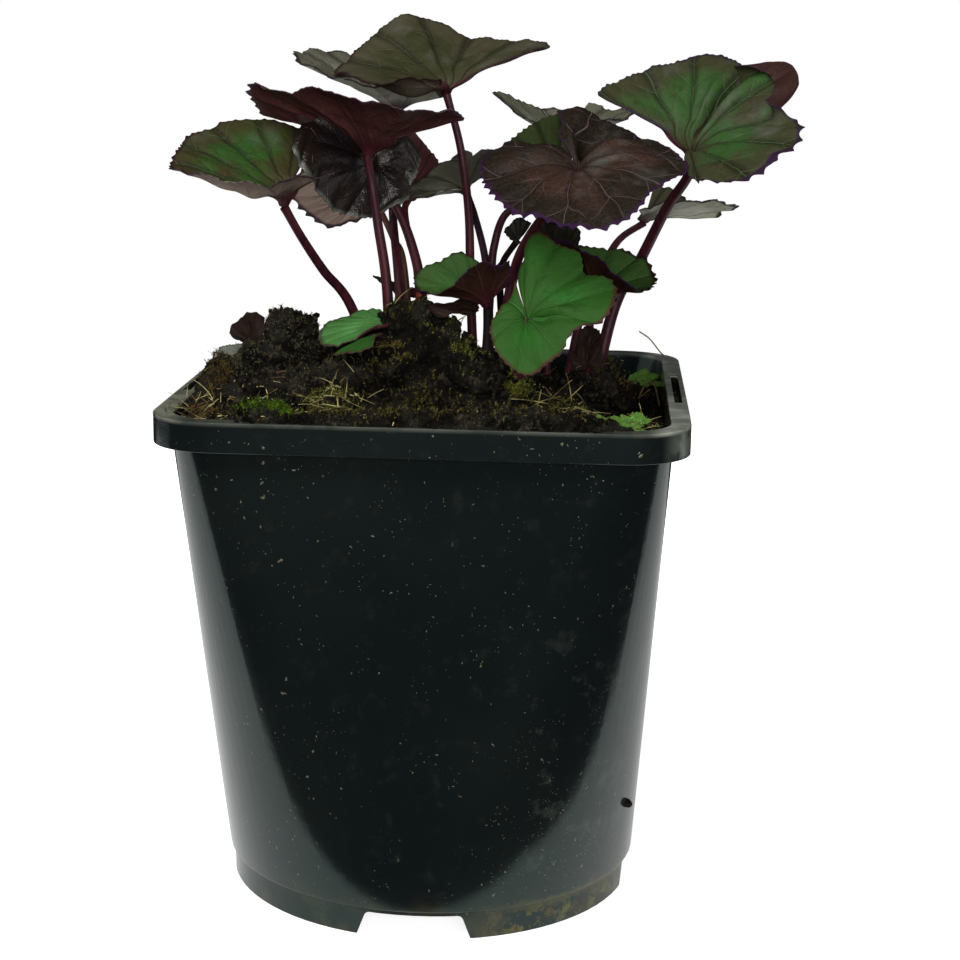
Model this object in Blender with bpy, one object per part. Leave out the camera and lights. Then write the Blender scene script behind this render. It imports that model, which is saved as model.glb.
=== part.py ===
# A potted ligularia: a clump of round, toothed leaves on thin stalks, in a square-topped nursery pot.
#
# Frame: +Z up, the ground at z = 0, +X to the right, +Y to the back.
# Every size below is in millimetres and every mesh is in metres. The tables count x and y from the
# pot's axis. The leaves reach further to the right than to the left, so the pot stands a little to
# the left of the origin, and the whole object's box is centred over the origin.

import math

import bmesh
import bpy
import numpy as np
from mathutils import Vector
from mathutils.bvhtree import BVHTree

mm = 0.001
gap = 0.3                  # left between two pieces that touch
potAxisX = -17.0           # the pot's axis, from the origin

# pot: square with round corners at the top, round at the foot
potHeight = 174.0
rimHalf = 85.0
rimCorner = 21.5
rimDrop = 9.5              # height of the band under the rim
bodyHalf = 80.0
bodyCorner = 17.0
bodyFootRadius = 72.0
wall = 1.4
footRadius = 70.6
footHeight = 9.5
footStep = 0.5             # slope between the foot ring and the body
floorUnder = 9.0
floorTop = 10.6
notchTop = 8.2
notchHalfLow = 18.9
notchHalfHigh = 15.9
slotInner = 80.8
slotOuter = 83.4
slotHalf = 27.0
drainRadius = 5.0
drainRing = 48.0
drainCount = 8
cornerSteps = 8            # facets round a quarter of the pot

# soil: a level with mounds on it, (x, y, height, spread along x, spread along y)
soilLevel = 164.0
mounds = [
    (-62, -10, 24, 26, 46),    # bank along the left side
    (-47, -14, 6, 14, 14),
    (-24, -26, 15, 16, 14),
    (-5, -14, 37, 17, 14),     # crown of the plant
    (30, -6, 16, 20, 20),
    (-10, -80, 10, 66, 16),    # bank along the front
    (45, -80, 8, 30, 12),
]
wallLevel = 174.0          # highest soil where it meets the pot's wall
wallSlope = 0.9            # steepest rise of the soil from there
soilCells = 22             # squares across the soil's surface
socketDepth = 8.0

# leaves: apex = where the stalk joins, rim = points round the blade's edge from one side of the
# notch at the stalk to the other, anticlockwise seen from the upper side, lift = how far the blade
# swells to its upper side near the stalk, steps = facets (towards the rim, round the rim)
bladeThick = 0.8
leaves = {
    "top": dict(
        apex=(2, 0, 272), lift=2.5, steps=(4, 26), colour="olive",
        rim=[(31, -2, 286), (35, 8, 288), (18, 25, 289), (6, 32, 291), (-7, 36, 295), (-16, 36, 296),
             (-24, 28, 292), (-30, 18, 285), (-35, -2, 278), (-29, -16, 277), (-18, -24, 276),
             (-8, -24, 277), (0, -14, 276)]),
    "top_back": dict(
        apex=(-19, 36, 263), lift=2, steps=(4, 20), colour="olive",
        rim=[(-39, 56, 284), (-47, 48, 285), (-54, 29, 283), (-46, 19, 279), (-37, 12, 276),
             (-26, 10, 274), (-14, 12, 273), (-6, 18, 273), (-2, 32, 270), (-6, 50, 276),
             (-18, 60, 281)]),
    "raised_red": dict(
        apex=(-24, -5, 251), lift=3, steps=(4, 22), colour="redBrown",
        rim=[(-55, 5, 265), (-60, 0, 264), (-62, -10, 269), (-60, -18, 274), (-48, -30, 272),
             (-38, -38, 273), (-27, -44, 271), (-14, -44, 269), (-5, -38, 267), (5, -28, 267),
             (9, -20, 264), (5, -14, 263)]),
    "left_green": dict(
        apex=(-48, -32, 236), lift=3, steps=(4, 24), colour="green",
        rim=[(-41, -4, 257), (-47, -2, 259), (-53, 0, 261), (-65, 0, 262), (-75, -4, 260),
             (-83, -12, 256), (-84, -20, 253), (-84, -36, 248), (-73, -46, 247), (-61, -52, 245),
             (-50, -54, 244), (-40, -52, 246), (-30, -44, 247)]),
    "glossy_dark": dict(
        apex=(-25, 6, 247), lift=4, steps=(4, 24), colour="blackPurple",
        rim=[(-32, 2, 255), (-41, -14, 257), (-46, -22, 253), (-44, -24, 249), (-41, -24, 244),
             (-38, -20, 240), (-34, -14, 234), (-28, -6, 232), (-23, -2, 231), (-18, 1, 233),
             (-13, 3, 235), (-11, 8, 241), (-8, 16, 249), (-14, 22, 253), (-24, 16, 255)]),
    "left_under": dict(
        apex=(-28, 46, 237), lift=1.5, steps=(3, 14), colour="greyBrown",
        rim=[(-25, 42, 229), (-32, 40, 227), (-41, 38, 224), (-45, 38, 225), (-53, 38, 231),
             (-56, 40, 236), (-54, 44, 242), (-46, 50, 246), (-34, 54, 246)]),
    "brown_red": dict(
        apex=(-14, 38, 234), lift=1, steps=(3, 14), colour="redBrown",
        rim=[(-2, 42, 241), (-4, 48, 245), (-8, 52, 250), (-12, 54, 254), (-16, 54, 256),
             (-20, 54, 256), (-23, 52, 252), (-25, 48, 247), (-23, 42, 240)]),
    "edge_on": dict(
        apex=(8, 22, 237), lift=1.5, steps=(3, 18), colour="darkGreen",
        rim=[(5, 47, 250), (0, 44, 247), (-10, 35, 240), (-14, 24, 235), (-12, 12, 235),
             (-6, 10, 236), (1, 9, 238), (8, 9, 240), (13, 12, 242), (17, 20, 247), (19, 32, 251),
             (12, 42, 251)]),
    "centre_purple": dict(
        apex=(47, -20, 248), lift=3, steps=(4, 26), colour="purpleBrown",
        rim=[(31, -2, 255), (23, -2, 256), (16, -12, 249), (18, -24, 243), (27, -40, 237),
             (39, -48, 235), (53, -54, 232), (65, -50, 238), (72, -38, 245), (82, -24, 250),
             (70, -6, 257), (57, 2, 263), (47, 4, 267), (39, 2, 266)]),
    "behind_centre": dict(
        apex=(40, 24, 243), lift=1, steps=(3, 14), colour="green",
        rim=[(52, 26, 263), (43, 28, 265), (34, 28, 263), (26, 26, 258), (21, 22, 253),
             (21, 16, 246), (29, 12, 238), (39, 10, 235), (49, 12, 237)]),
    "right_big": dict(
        apex=(84, -6, 253), lift=4, steps=(4, 30), colour="green",
        rim=[(82, -22, 249), (86, -34, 247), (96, -44, 248), (103, -44, 250), (109, -40, 254),
             (115, -34, 258), (118, -24, 265), (119, -10, 275), (116, 0, 281), (111, 4, 284),
             (104, 10, 281), (97, 18, 283), (89, 22, 286), (80, 20, 283), (70, 14, 280),
             (61, 8, 277), (53, 0, 273), (58, -8, 269)]),
    "right_thin": dict(
        apex=(70, 38, 227), lift=1, steps=(3, 16), colour="greyBrown",
        rim=[(68, 22, 232), (74, 18, 235), (83, 16, 236), (91, 18, 236), (101, 26, 234),
             (97, 34, 231), (94, 40, 229), (90, 46, 233), (83, 52, 235), (77, 54, 238),
             (73, 52, 237)]),
    "back": dict(
        apex=(39, 52, 251), lift=1.5, steps=(3, 18), colour="olive",
        rim=[(39, 68, 264), (28, 62, 266), (19, 52, 270), (15, 42, 270), (23, 36, 265),
             (32, 34, 261), (46, 34, 261), (59, 40, 262), (67, 50, 265), (58, 62, 265),
             (49, 68, 267)]),
    "low_centre": dict(
        apex=(18, -15, 202), lift=1.5, steps=(3, 18), colour="green",
        rim=[(14, -6, 216), (8, -6, 219), (1, -6, 216), (-6, -8, 212), (-6, -12, 208),
             (-1, -20, 207), (5, -26, 209), (10, -29, 213), (15, -29, 218), (21, -27, 217),
             (25, -22, 218), (25, -16, 210)]),
    "bright_green": dict(
        apex=(32, -33, 201), lift=2, steps=(4, 26), colour="brightGreen",
        rim=[(28, -25, 212), (27, -28, 208), (24, -32, 204), (21, -36, 199), (22, -42, 194),
             (26, -47, 189), (33, -50, 186), (39, -50, 189), (44, -48, 194), (47, -46, 199),
             (56, -44, 203), (60, -38, 209), (58, -32, 214), (50, -28, 215), (48, -22, 221),
             (42, -20, 223), (34, -16, 227), (30, -18, 220), (29, -22, 213)]),
    "low_right": dict(
        apex=(53, 0, 204), lift=1.5, steps=(3, 18), colour="green",
        rim=[(34, -4, 226), (47, -12, 222), (59, -16, 215), (68, -16, 209), (72, -6, 209),
             (73, 4, 211), (70, 12, 216), (62, 18, 218), (51, 20, 219), (42, 14, 222)]),
    "small_dark": dict(
        apex=(26, 15, 222), lift=0.5, steps=(3, 10), colour="darkGreen",
        rim=[(31, 6, 229), (27, 4, 231), (24, 4, 229), (22, 6, 226), (25, 6, 223), (28, 8, 221),
             (31, 12, 221)]),
    "small_grey": dict(
        apex=(39, 23, 214), lift=0.5, steps=(3, 10), colour="darkGreen",
        rim=[(47, 20, 220), (47, 18, 226), (40, 18, 228), (34, 20, 228), (31, 22, 223)]),
    "soil_upper": dict(
        apex=(-16, -18, 196), lift=1, steps=(3, 12), colour="brightGreen",
        rim=[(-15, -14, 199), (-21, -10, 200), (-29, -12, 198), (-35, -18, 196), (-37, -26, 193),
             (-34, -34, 191), (-27, -36, 192), (-22, -32, 195)]),
    "soil_lower": dict(
        apex=(-17, -34, 195), lift=0.5, steps=(3, 8), colour="brightGreen",
        rim=[(-23, -36, 193), (-28, -42, 191), (-29, -46, 190), (-24, -48, 191), (-17, -46, 193)]),
}

# stalks: points from where each one leaves the soil up to its blade, low and high radius
stalkSides = 6
stalkShort = 0.6           # between a stalk's end and its blade's underside
stalks = {
    "top": (1.7, 1.2, [(13, 3, 187), (11, 2, 206), (10, 1, 232), (7, 0, 254), (2, 0, 272)]),
    "top_back": (1.7, 1.2, [(-12, 2, 194), (-14, 6, 205), (-18, 22, 229), (-20, 36, 246),
                            (-19, 36, 263)]),
    "raised_red": (1.9, 1.3, [(-15, -8, 193), (-17, -8, 210), (-20, -8, 229), (-22, -8, 242),
                              (-24, -5, 251)]),
    "left_green": (1.8, 1.3, [(-19, -4, 189), (-29, -8, 201), (-37, -18, 214), (-43, -28, 226),
                              (-48, -32, 236)]),
    "glossy_dark": (1.9, 1.3, [(-3, 1, 194), (-6, 3, 205), (-10, 7, 221), (-16, 10, 234),
                               (-24, 9, 245), (-25, 6, 247)]),
    "left_under": (1.3, 1.0, [(-8, 8, 197), (-13, 14, 211), (-18, 24, 221), (-25, 40, 231),
                              (-28, 46, 237)]),
    "brown_red": (1.5, 1.1, [(-5, 10, 194), (-8, 12, 208), (-12, 20, 221), (-15, 34, 230),
                             (-14, 38, 234)]),
    "edge_on": (1.5, 1.1, [(18, 8, 186), (17, 8, 202), (15, 12, 217), (11, 18, 230), (8, 22, 237)]),
    "centre_purple": (2.0, 1.4, [(23, -2, 186), (24, -3, 200), (26, -4, 213), (29, -8, 222),
                                 (35, -12, 232), (47, -20, 248)]),
    "behind_centre": (1.6, 1.1, [(15, 18, 183), (17, 16, 205), (18, 18, 220), (22, 21, 231),
                                 (32, 23, 234), (40, 25, 243)]),
    "right_big": (2.2, 1.5, [(52, 14, 182), (60, 20, 198), (69, 22, 216), (77, 8, 235),
                             (83, -3, 246), (84, -6, 253)]),
    "right_thin": (1.6, 1.1, [(43, 14, 184), (50, 24, 203), (57, 28, 215), (62, 33, 222),
                              (70, 38, 227)]),
    "back": (1.6, 1.1, [(31, 14, 186), (34, 26, 211), (36, 42, 234), (39, 52, 251)]),
    "low_centre": (1.9, 1.4, [(17, -15, 181), (18, -15, 190), (18, -15, 202)]),
    "bright_green": (1.8, 1.2, [(28, -12, 176), (30, -16, 185), (32, -26, 194), (32, -33, 201)]),
    "low_right": (1.7, 1.2, [(51, 3, 179), (52, 3, 188), (52, 2, 197), (53, 0, 204)]),
    "small_dark": (1.4, 1.0, [(24, 18, 185), (20, 20, 206), (21, 19, 214), (26, 15, 222)]),
    "small_grey": (1.3, 1.0, [(37, 16, 186), (38, 20, 201), (39, 23, 214)]),
    "soil_upper": (1.2, 1.0, [(-12, -14, 190), (-14, -16, 193), (-16, -18, 196)]),
    "soil_lower": (1.1, 0.9, [(-13, -28, 189), (-14, -31, 192), (-17, -34, 195)]),
}

# withered leaves, a pale scrap and a thin sprout, as the leaves but with no stalk of their own
leaning = ("right", "sprout")     # these lean on a stalk, the others lie on the soil
scraps = {
    "left": dict(
        apex=(-61, -16, 188), lift=0.2, steps=(2, 8), colour="withered",
        rim=[(-57, -17, 190), (-57, -18, 194), (-58, -18, 197), (-62, -17, 198), (-66, -16, 196),
             (-68, -16, 193), (-65, -16, 189)]),
    "right": dict(
        apex=(51, 0, 180), lift=1, steps=(3, 10), colour="withered",
        rim=[(56, -2, 182), (56, -3, 189), (56, -1, 192), (52, 1, 194), (48, 0, 191),
             (46, -2, 187), (46, -2, 181)]),
    "centre": dict(
        apex=(-5, -15, 202), lift=0.5, steps=(3, 12), colour="withered",
        rim=[(1, -22, 200), (5, -22, 200), (8, -21, 201), (13, -18, 201), (14, -12, 202),
             (11, -6, 203), (6, -6, 202), (2, -7, 201), (-3, -9, 202)]),
    "grey": dict(
        apex=(-66, -20, 186), lift=0.5, steps=(3, 8), colour="greyBrown",
        rim=[(-62, -18, 188), (-66, -15, 188), (-70, -15, 187), (-73, -18, 185), (-69, -22, 184),
             (-64, -24, 185)]),
    "yellow": dict(
        apex=(57, 46, 169), lift=0.5, steps=(2, 8), colour="straw",
        rim=[(60, 44, 170), (59, 44, 174), (56, 46, 177), (53, 48, 178), (52, 47, 174),
             (55, 45, 171)]),
    "sprout": dict(
        apex=(-9, 14, 203), lift=0.3, steps=(2, 8), colour="darkGreen",
        rim=[(-13, 18, 200), (-19, 20, 204), (-25, 22, 208), (-19, 21, 207), (-13, 19, 204)]),
}

# moss, plantlets, liverwort and clods: (x, y, half length, half width, turn in degrees, height,
# colour, shape), where a shape is the rings' shares of the width and of the height from the edge in
matClear = 0.4             # under a mat, over the soil
matPoints = 12
low = ((1.0, 0.25), (0.55, 0.75))
steep = ((0.85, 0.15), (1.0, 0.45), (0.7, 0.85))
mats = {
    "moss_front": (12, -72, 48, 10, 0, 4, "moss", low),
    "moss_front_left": (-49, -72, 11, 10, 0, 5, "moss", low),
    "moss_straw_left": (-30, -44, 10, 8, 0, 6, "straw", low),
    "moss_straw_right": (47, -28, 10, 12, 0, 5, "straw", low),
    "moss_centre": (12, -34, 8, 6, 30, 4, "moss", low),
    "clod_left": (-48, -14, 10, 9, 0, 12, "moss", steep),
    "clod_edge": (-71, -34, 6, 6, 0, 6, "straw", steep),
    "plantlet_left": (54, -50, 6, 5, 0, 4, "brightGreen", low),
    "plantlet_right": (66, -60, 6, 5, 0, 4, "brightGreen", low),
    "liverwort": (72, 64, 5, 6, 0, 4, "brightGreen", low),
}

# dry grass: points along each stem and its radius
grasses = {
    "arch": (0.5, [(70, 30, 165), (72, 28, 170), (75, 22, 172), (77, 12, 166)]),
    "hair": (0.4, [(70, 60, 185), (74, 62, 182), (78, 64, 177), (80, 66, 175)]),
}

# Principled colours, roughness
finishes = {
    "potPlastic": ((0.016, 0.024, 0.028), 0.42),
    "soil": ((0.022, 0.016, 0.012), 0.95),
    "olive": ((0.09, 0.12, 0.04), 0.5),
    "green": ((0.05, 0.12, 0.03), 0.5),
    "darkGreen": ((0.03, 0.05, 0.02), 0.5),
    "brightGreen": ((0.05, 0.2, 0.05), 0.5),
    "redBrown": ((0.09, 0.035, 0.025), 0.5),
    "purpleBrown": ((0.07, 0.045, 0.035), 0.5),
    "blackPurple": ((0.012, 0.01, 0.013), 0.25),
    "greyBrown": ((0.3, 0.26, 0.23), 0.6),
    "stalk": ((0.05, 0.015, 0.02), 0.4),
    "moss": ((0.1, 0.1, 0.02), 0.9),
    "withered": ((0.04, 0.02, 0.015), 0.8),
    "straw": ((0.3, 0.24, 0.1), 0.8),
}


def clearScene():
    for old in list(bpy.data.objects):
        bpy.data.objects.remove(old, do_unlink=True)


def makeMaterial(name):
    colour, roughness = finishes[name]
    material = bpy.data.materials.get(name) or bpy.data.materials.new(name)
    material.use_nodes = True
    shader = material.node_tree.nodes["Principled BSDF"]
    shader.inputs["Base Color"].default_value = (*colour, 1.0)
    shader.inputs["Roughness"].default_value = roughness
    shader.inputs["Metallic"].default_value = 0.0
    return material


def addPiece(name, bm, finish, parent):
    bmesh.ops.recalc_face_normals(bm, faces=bm.faces)
    mesh = bpy.data.meshes.new(name)
    bm.to_mesh(mesh)
    bm.free()
    mesh.materials.append(makeMaterial(finish))
    piece = bpy.data.objects.new(name, mesh)
    piece.parent = parent
    bpy.context.scene.collection.objects.link(piece)
    return piece


def smoothPiece(piece, degrees=40):
    piece.data.shade_smooth()
    piece.data.set_sharp_from_angle(angle=math.radians(degrees))


def subtract(piece, cutter):
    cutter.hide_render = True
    cutter.display_type = "WIRE"
    cut = piece.modifiers.new("cut " + cutter.name, "BOOLEAN")
    cut.operation = "DIFFERENCE"
    cut.solver = "EXACT"
    cut.object = cutter


def smoothPath(points, perSpan):
    # a Catmull-Rom curve through the points, as rows of x, y, z
    p = np.array(points, float)
    p = np.vstack([2 * p[0] - p[1], p, 2 * p[-1] - p[-2]])
    rows = []
    for i in range(1, len(p) - 2):
        for k in range(perSpan):
            t = k / perSpan
            a, b, c, d = p[i - 1], p[i], p[i + 1], p[i + 2]
            rows.append(0.5 * (2 * b + (c - a) * t + (2 * a - 5 * b + 4 * c - d) * t ** 2
                               + (3 * b - a - 3 * c + d) * t ** 3))
    rows.append(p[-2])
    return np.array(rows)


def evenly(path, count):
    # the path read again at count + 1 places, equally far apart along it
    lengths = np.r_[0, np.cumsum(np.linalg.norm(np.diff(path, axis=0), axis=1))]
    wanted = np.linspace(0, lengths[-1], count + 1)
    return np.column_stack([np.interp(wanted, lengths, path[:, k]) for k in range(3)])


def squareRing(half, corner, z):
    # a square outline with round corners, anticlockwise from above
    ring = []
    for quarter in range(4):
        cx, cy = [(1, 1), (-1, 1), (-1, -1), (1, -1)][quarter]
        for k in range(cornerSteps + 1):
            angle = math.radians(90 * quarter + 90 * k / cornerSteps)
            ring.append(Vector((cx * (half - corner) + corner * math.cos(angle),
                                cy * (half - corner) + corner * math.sin(angle), z)))
    return ring


def bridgeRings(bm, rings, firstCentre, lastCentre):
    # a closed skin over rings of equally many points, with a point in the middle of each end
    rows = [[bm.verts.new(p * mm) for p in ring] for ring in rings]
    count = len(rows[0])
    for low, high in zip(rows, rows[1:]):
        for k in range(count):
            n = (k + 1) % count
            bm.faces.new((low[k], low[n], high[n], high[k]))
    for row, centre in ((rows[0], firstCentre), (rows[-1], lastCentre)):
        middle = bm.verts.new(Vector(centre) * mm)
        for k in range(count):
            bm.faces.new((row[k], row[(k + 1) % count], middle))


def bodyOutline(z, inset=0.0):
    # the body's wall at height z: half its width and its corner radius, both less the inset
    low = footHeight + footStep
    share = (z - low) / (potHeight - wall - low)
    half = bodyFootRadius + (bodyHalf - bodyFootRadius) * share
    corner = bodyFootRadius - 0.2 + (bodyCorner - bodyFootRadius + 0.2) * share
    return half - inset, corner - inset


def makePot(parent):
    flangeUnder = potHeight - wall
    bandLow = potHeight - rimDrop
    edge = 0.7
    foot = footRadius - 0.2
    inFoot = foot - wall
    profile = [
        (inFoot + 0.2, inFoot, floorUnder),
        (inFoot + 0.2, inFoot, 0),
        (footRadius, foot, 0),
        (footRadius, foot, footHeight),
        (*bodyOutline(footHeight + footStep), footHeight + footStep),
        (*bodyOutline(flangeUnder), flangeUnder),
        (rimHalf - wall, rimCorner - wall, flangeUnder),
        (rimHalf - wall, rimCorner - wall, bandLow),
        (rimHalf, rimCorner, bandLow),
        (rimHalf, rimCorner, potHeight - edge),
        (rimHalf - edge, rimCorner - edge, potHeight),
        (*bodyOutline(potHeight, wall), potHeight),
        (*bodyOutline(floorTop, wall), floorTop),
    ]
    bm = bmesh.new()
    bridgeRings(bm, [squareRing(*row) for row in profile], (0, 0, floorUnder), (0, 0, floorTop))
    pot = addPiece("pot", bm, "potPlastic", parent)
    subtract(pot, makePotCutters(parent))
    smoothPiece(pot, 30)
    return pot


def addPrism(bm, outline, low, high):
    # outline points are (x, y) pairs, and low and high turn one into a point of each end
    ends = [[bm.verts.new(Vector(place(x, y)) * mm) for x, y in outline] for place in (low, high)]
    count = len(outline)
    for k in range(count):
        n = (k + 1) % count
        bm.faces.new((ends[0][k], ends[0][n], ends[1][n], ends[1][k]))
    bm.faces.new(ends[0])
    bm.faces.new(ends[1])


def makePotCutters(parent):
    # four notches in the foot ring, a slot in each side of the rim, and the drain holes
    past = 3.0                 # how far each cutter runs past what it cuts
    bm = bmesh.new()
    wide = notchHalfLow + (notchHalfLow - notchHalfHigh) * past / notchTop
    notch = [(-wide, -past), (wide, -past), (notchHalfHigh, notchTop), (-notchHalfHigh, notchTop)]
    across = notchHalfLow ** 2 / footRadius
    for quarter in range(4):
        turn = math.radians(90 * quarter)
        along = (math.cos(turn), math.sin(turn))
        out = (-math.sin(turn), math.cos(turn))

        def place(radius):
            return lambda s, z: (along[0] * s + out[0] * radius, along[1] * s + out[1] * radius, z)

        addPrism(bm, notch, place(footRadius - across - 2 * past), place(footRadius + past))
    for side in (-1, 1):
        slot = [(side * slotInner, -slotHalf), (side * slotOuter, -slotHalf),
                (side * slotOuter, slotHalf), (side * slotInner, slotHalf)]
        addPrism(bm, slot, lambda x, y: (x, y, potHeight - past), lambda x, y: (x, y, potHeight + past))
    for hole in range(drainCount):
        turn = 2 * math.pi * (hole + 0.5) / drainCount
        middle = (drainRing * math.cos(turn), drainRing * math.sin(turn))
        circle = [(middle[0] + drainRadius * math.cos(2 * math.pi * k / 12),
                   middle[1] + drainRadius * math.sin(2 * math.pi * k / 12)) for k in range(12)]
        addPrism(bm, circle, lambda x, y: (x, y, floorUnder - past), lambda x, y: (x, y, floorTop + past))
    return addPiece("potCutters", bm, "potPlastic", parent)


def soilHeight(x, y):
    z = soilLevel
    for cx, cy, rise, spreadX, spreadY in mounds:
        z += rise * math.exp(-((x - cx) / spreadX) ** 2 - ((y - cy) / spreadY) ** 2)
    fromWall = bodyHalf - wall - max(abs(x), abs(y))
    return min(z, wallLevel + wallSlope * fromWall)


def makeSoil(parent):
    # a slab with the mounds on its top, cut to the inside of the pot
    bottom = floorTop + gap
    reach = bodyHalf + 1
    top = potHeight + 50
    bm = bmesh.new()
    bmesh.ops.create_grid(bm, x_segments=soilCells, y_segments=soilCells, size=reach * mm)
    for v in bm.verts:
        v.co.z = soilHeight(v.co.x / mm, v.co.y / mm) * mm
    skirt = bmesh.ops.extrude_face_region(bm, geom=list(bm.faces))
    for v in [item for item in skirt["geom"] if isinstance(item, bmesh.types.BMVert)]:
        v.co.z = (bottom - 5) * mm
    bmesh.ops.dissolve_limit(bm, angle_limit=0.001, verts=bm.verts, edges=bm.edges)
    bmesh.ops.triangulate(bm, faces=bm.faces)
    soil = addPiece("soil", bm, "soil", parent)
    mould = bmesh.new()
    inset = wall + gap
    levels = [(bottom, bottom), (potHeight, potHeight), (potHeight, top)]
    bridgeRings(mould, [squareRing(*bodyOutline(shape, inset), z) for shape, z in levels],
                (0, 0, bottom), (0, 0, top))
    inside = addPiece("soilMould", mould, "soil", parent)
    subtract(soil, inside)
    soil.modifiers[0].operation = "INTERSECT"
    smoothPiece(soil, 60)
    return soil


def addTube(bm, path, radii, sides):
    # a closed tube along the path: rings that stay square to it, with flat ends
    tangents = np.gradient(path, axis=0)
    tangents /= np.linalg.norm(tangents, axis=1)[:, None]
    side = np.cross(tangents[0], (0.3, 1.0, 0.2))
    rings = []
    for point, tangent, radius in zip(path, tangents, radii):
        side = side - tangent * (side @ tangent)
        side /= np.linalg.norm(side)
        other = np.cross(tangent, side)
        ring = []
        for k in range(sides):
            angle = 2 * math.pi * k / sides
            spot = point + radius * (math.cos(angle) * side + math.sin(angle) * other)
            ring.append(bm.verts.new(Vector(spot) * mm))
        rings.append(ring)
    for low, high in zip(rings, rings[1:]):
        for k in range(sides):
            n = (k + 1) % sides
            bm.faces.new((low[k], low[n], high[n], high[k]))
    bm.faces.new(rings[0][::-1])
    bm.faces.new(rings[-1])


def stalkPath(points):
    # the stalk's line, started in its socket and stopped just short of the blade
    foot = np.array(points[0], float)
    foot[2] = soilHeight(foot[0], foot[1]) - socketDepth
    route = [foot] + [np.array(p, float) for p in points[1:]]
    end = route[-1] - route[-2]
    route[-1] = route[-1] - end / np.linalg.norm(end) * (bladeThick / 2 + stalkShort)
    return smoothPath(route, 2)


def makeStalk(name, parent):
    low, high, points = stalks[name]
    path = stalkPath(points)
    share = np.linspace(0, 1, len(path))
    bm = bmesh.new()
    addTube(bm, path, low + (high - low) * share, stalkSides)
    stalk = addPiece("stalk_" + name, bm, "stalk", parent)
    smoothPiece(stalk, 60)
    return stalk


def makeSocket(name, soil, parent):
    low, high, points = stalks[name]
    path = stalkPath(points)
    share = np.linspace(0, 1, len(path))
    path[0] -= (path[1] - path[0]) / np.linalg.norm(path[1] - path[0]) * gap
    clear = gap / math.cos(math.pi / stalkSides)
    bm = bmesh.new()
    addTube(bm, path, low + (high - low) * share + clear, stalkSides)
    subtract(soil, addPiece("socket_" + name, bm, "soil", parent))


def bladeGrid(leaf):
    # rows of points from the stalk to the rim, and the row nearest the stalk first
    apex = np.array(leaf["apex"], float)
    rings, steps = leaf["steps"]
    rim = evenly(smoothPath(leaf["rim"], 8), steps)
    up = np.cross(rim[:-1] - apex, rim[1:] - apex).sum(axis=0)
    up /= np.linalg.norm(up)
    rows = []
    for k in range(1, rings + 1):
        v = (k / rings) ** 1.5
        rows.append(apex + (rim - apex) * v + up * leaf["lift"] * 4 * (math.sqrt(v) - v))
    return apex, np.array(rows), up


def gridNormals(apex, rows):
    # the blade's normal at every point of the grid, towards its upper side
    full = np.vstack([np.broadcast_to(apex, rows[:1].shape), rows])
    outward = np.gradient(full, axis=0)[1:]
    around = np.gradient(full, axis=1)[1:]
    normals = np.cross(outward, around)
    normals /= np.linalg.norm(normals, axis=2)[:, :, None]
    return normals


def makeBlade(name, leaf, parent):
    apex, rows, up = bladeGrid(leaf)
    normals = gridNormals(apex, rows)
    bm = bmesh.new()
    sides = []
    for sign in (1, -1):
        tip = bm.verts.new(Vector(apex + sign * up * bladeThick / 2) * mm)
        skin = rows + sign * normals * bladeThick / 2
        grid = [[bm.verts.new(Vector(p) * mm) for p in row] for row in skin]
        sides.append((tip, grid))
    for tip, grid in sides:
        for k in range(len(grid[0]) - 1):
            bm.faces.new((tip, grid[0][k], grid[0][k + 1]))
            for inner, outer in zip(grid, grid[1:]):
                bm.faces.new((inner[k], outer[k], outer[k + 1], inner[k + 1]))
    (topTip, top), (underTip, under) = sides
    for k in range(len(top[-1]) - 1):
        bm.faces.new((top[-1][k], under[-1][k], under[-1][k + 1], top[-1][k + 1]))
    for end in (0, -1):
        topLine = [topTip] + [row[end] for row in top]
        underLine = [underTip] + [row[end] for row in under]
        for k in range(len(topLine) - 1):
            bm.faces.new((topLine[k], topLine[k + 1], underLine[k + 1], underLine[k]))
    bmesh.ops.triangulate(bm, faces=bm.faces)
    blade = addPiece(name, bm, leaf["colour"], parent)
    smoothPiece(blade, 60)
    return blade


def makeGround(soil):
    # how high the soil or the pot's rim lies under a place, or round it at a distance
    bpy.context.view_layer.update()
    tree = BVHTree.FromObject(soil, bpy.context.evaluated_depsgraph_get())
    flangeInner = bodyHalf - wall - 0.5

    def ground(x, y, around=0.0):
        heights = [potHeight if max(abs(x), abs(y)) > flangeInner - around else 0]
        for dx, dy in ((0, 0), (around, 0), (-around, 0), (0, around), (0, -around)):
            start = Vector((x + dx, y + dy, potHeight * 2)) * mm
            spot = tree.ray_cast(start, Vector((0, 0, -1)))[0]
            if spot:
                heights.append(spot.z / mm)
        return max(heights)

    return ground


def settle(piece, ground):
    # the piece moved up or down until it lies just over the ground
    bm = bmesh.new()
    bm.from_mesh(piece.data)
    tree = BVHTree.FromBMesh(bm)
    spots = np.array([v.co for v in bm.verts]) / mm
    places = [tuple(spot[:2]) for spot in spots]
    for x in np.arange(spots[:, 0].min(), spots[:, 0].max(), 1.0):
        places += [(x, y) for y in np.arange(spots[:, 1].min(), spots[:, 1].max(), 1.0)]
    least = 100.0
    for x, y in places:
        under = tree.ray_cast(Vector((x, y, 0)) * mm, Vector((0, 0, 1)))[0]
        if under:
            least = min(least, under.z / mm - ground(x, y))
    bmesh.ops.translate(bm, verts=bm.verts, vec=(0, 0, (matClear - least) * mm))
    bm.to_mesh(piece.data)
    bm.free()


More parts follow.
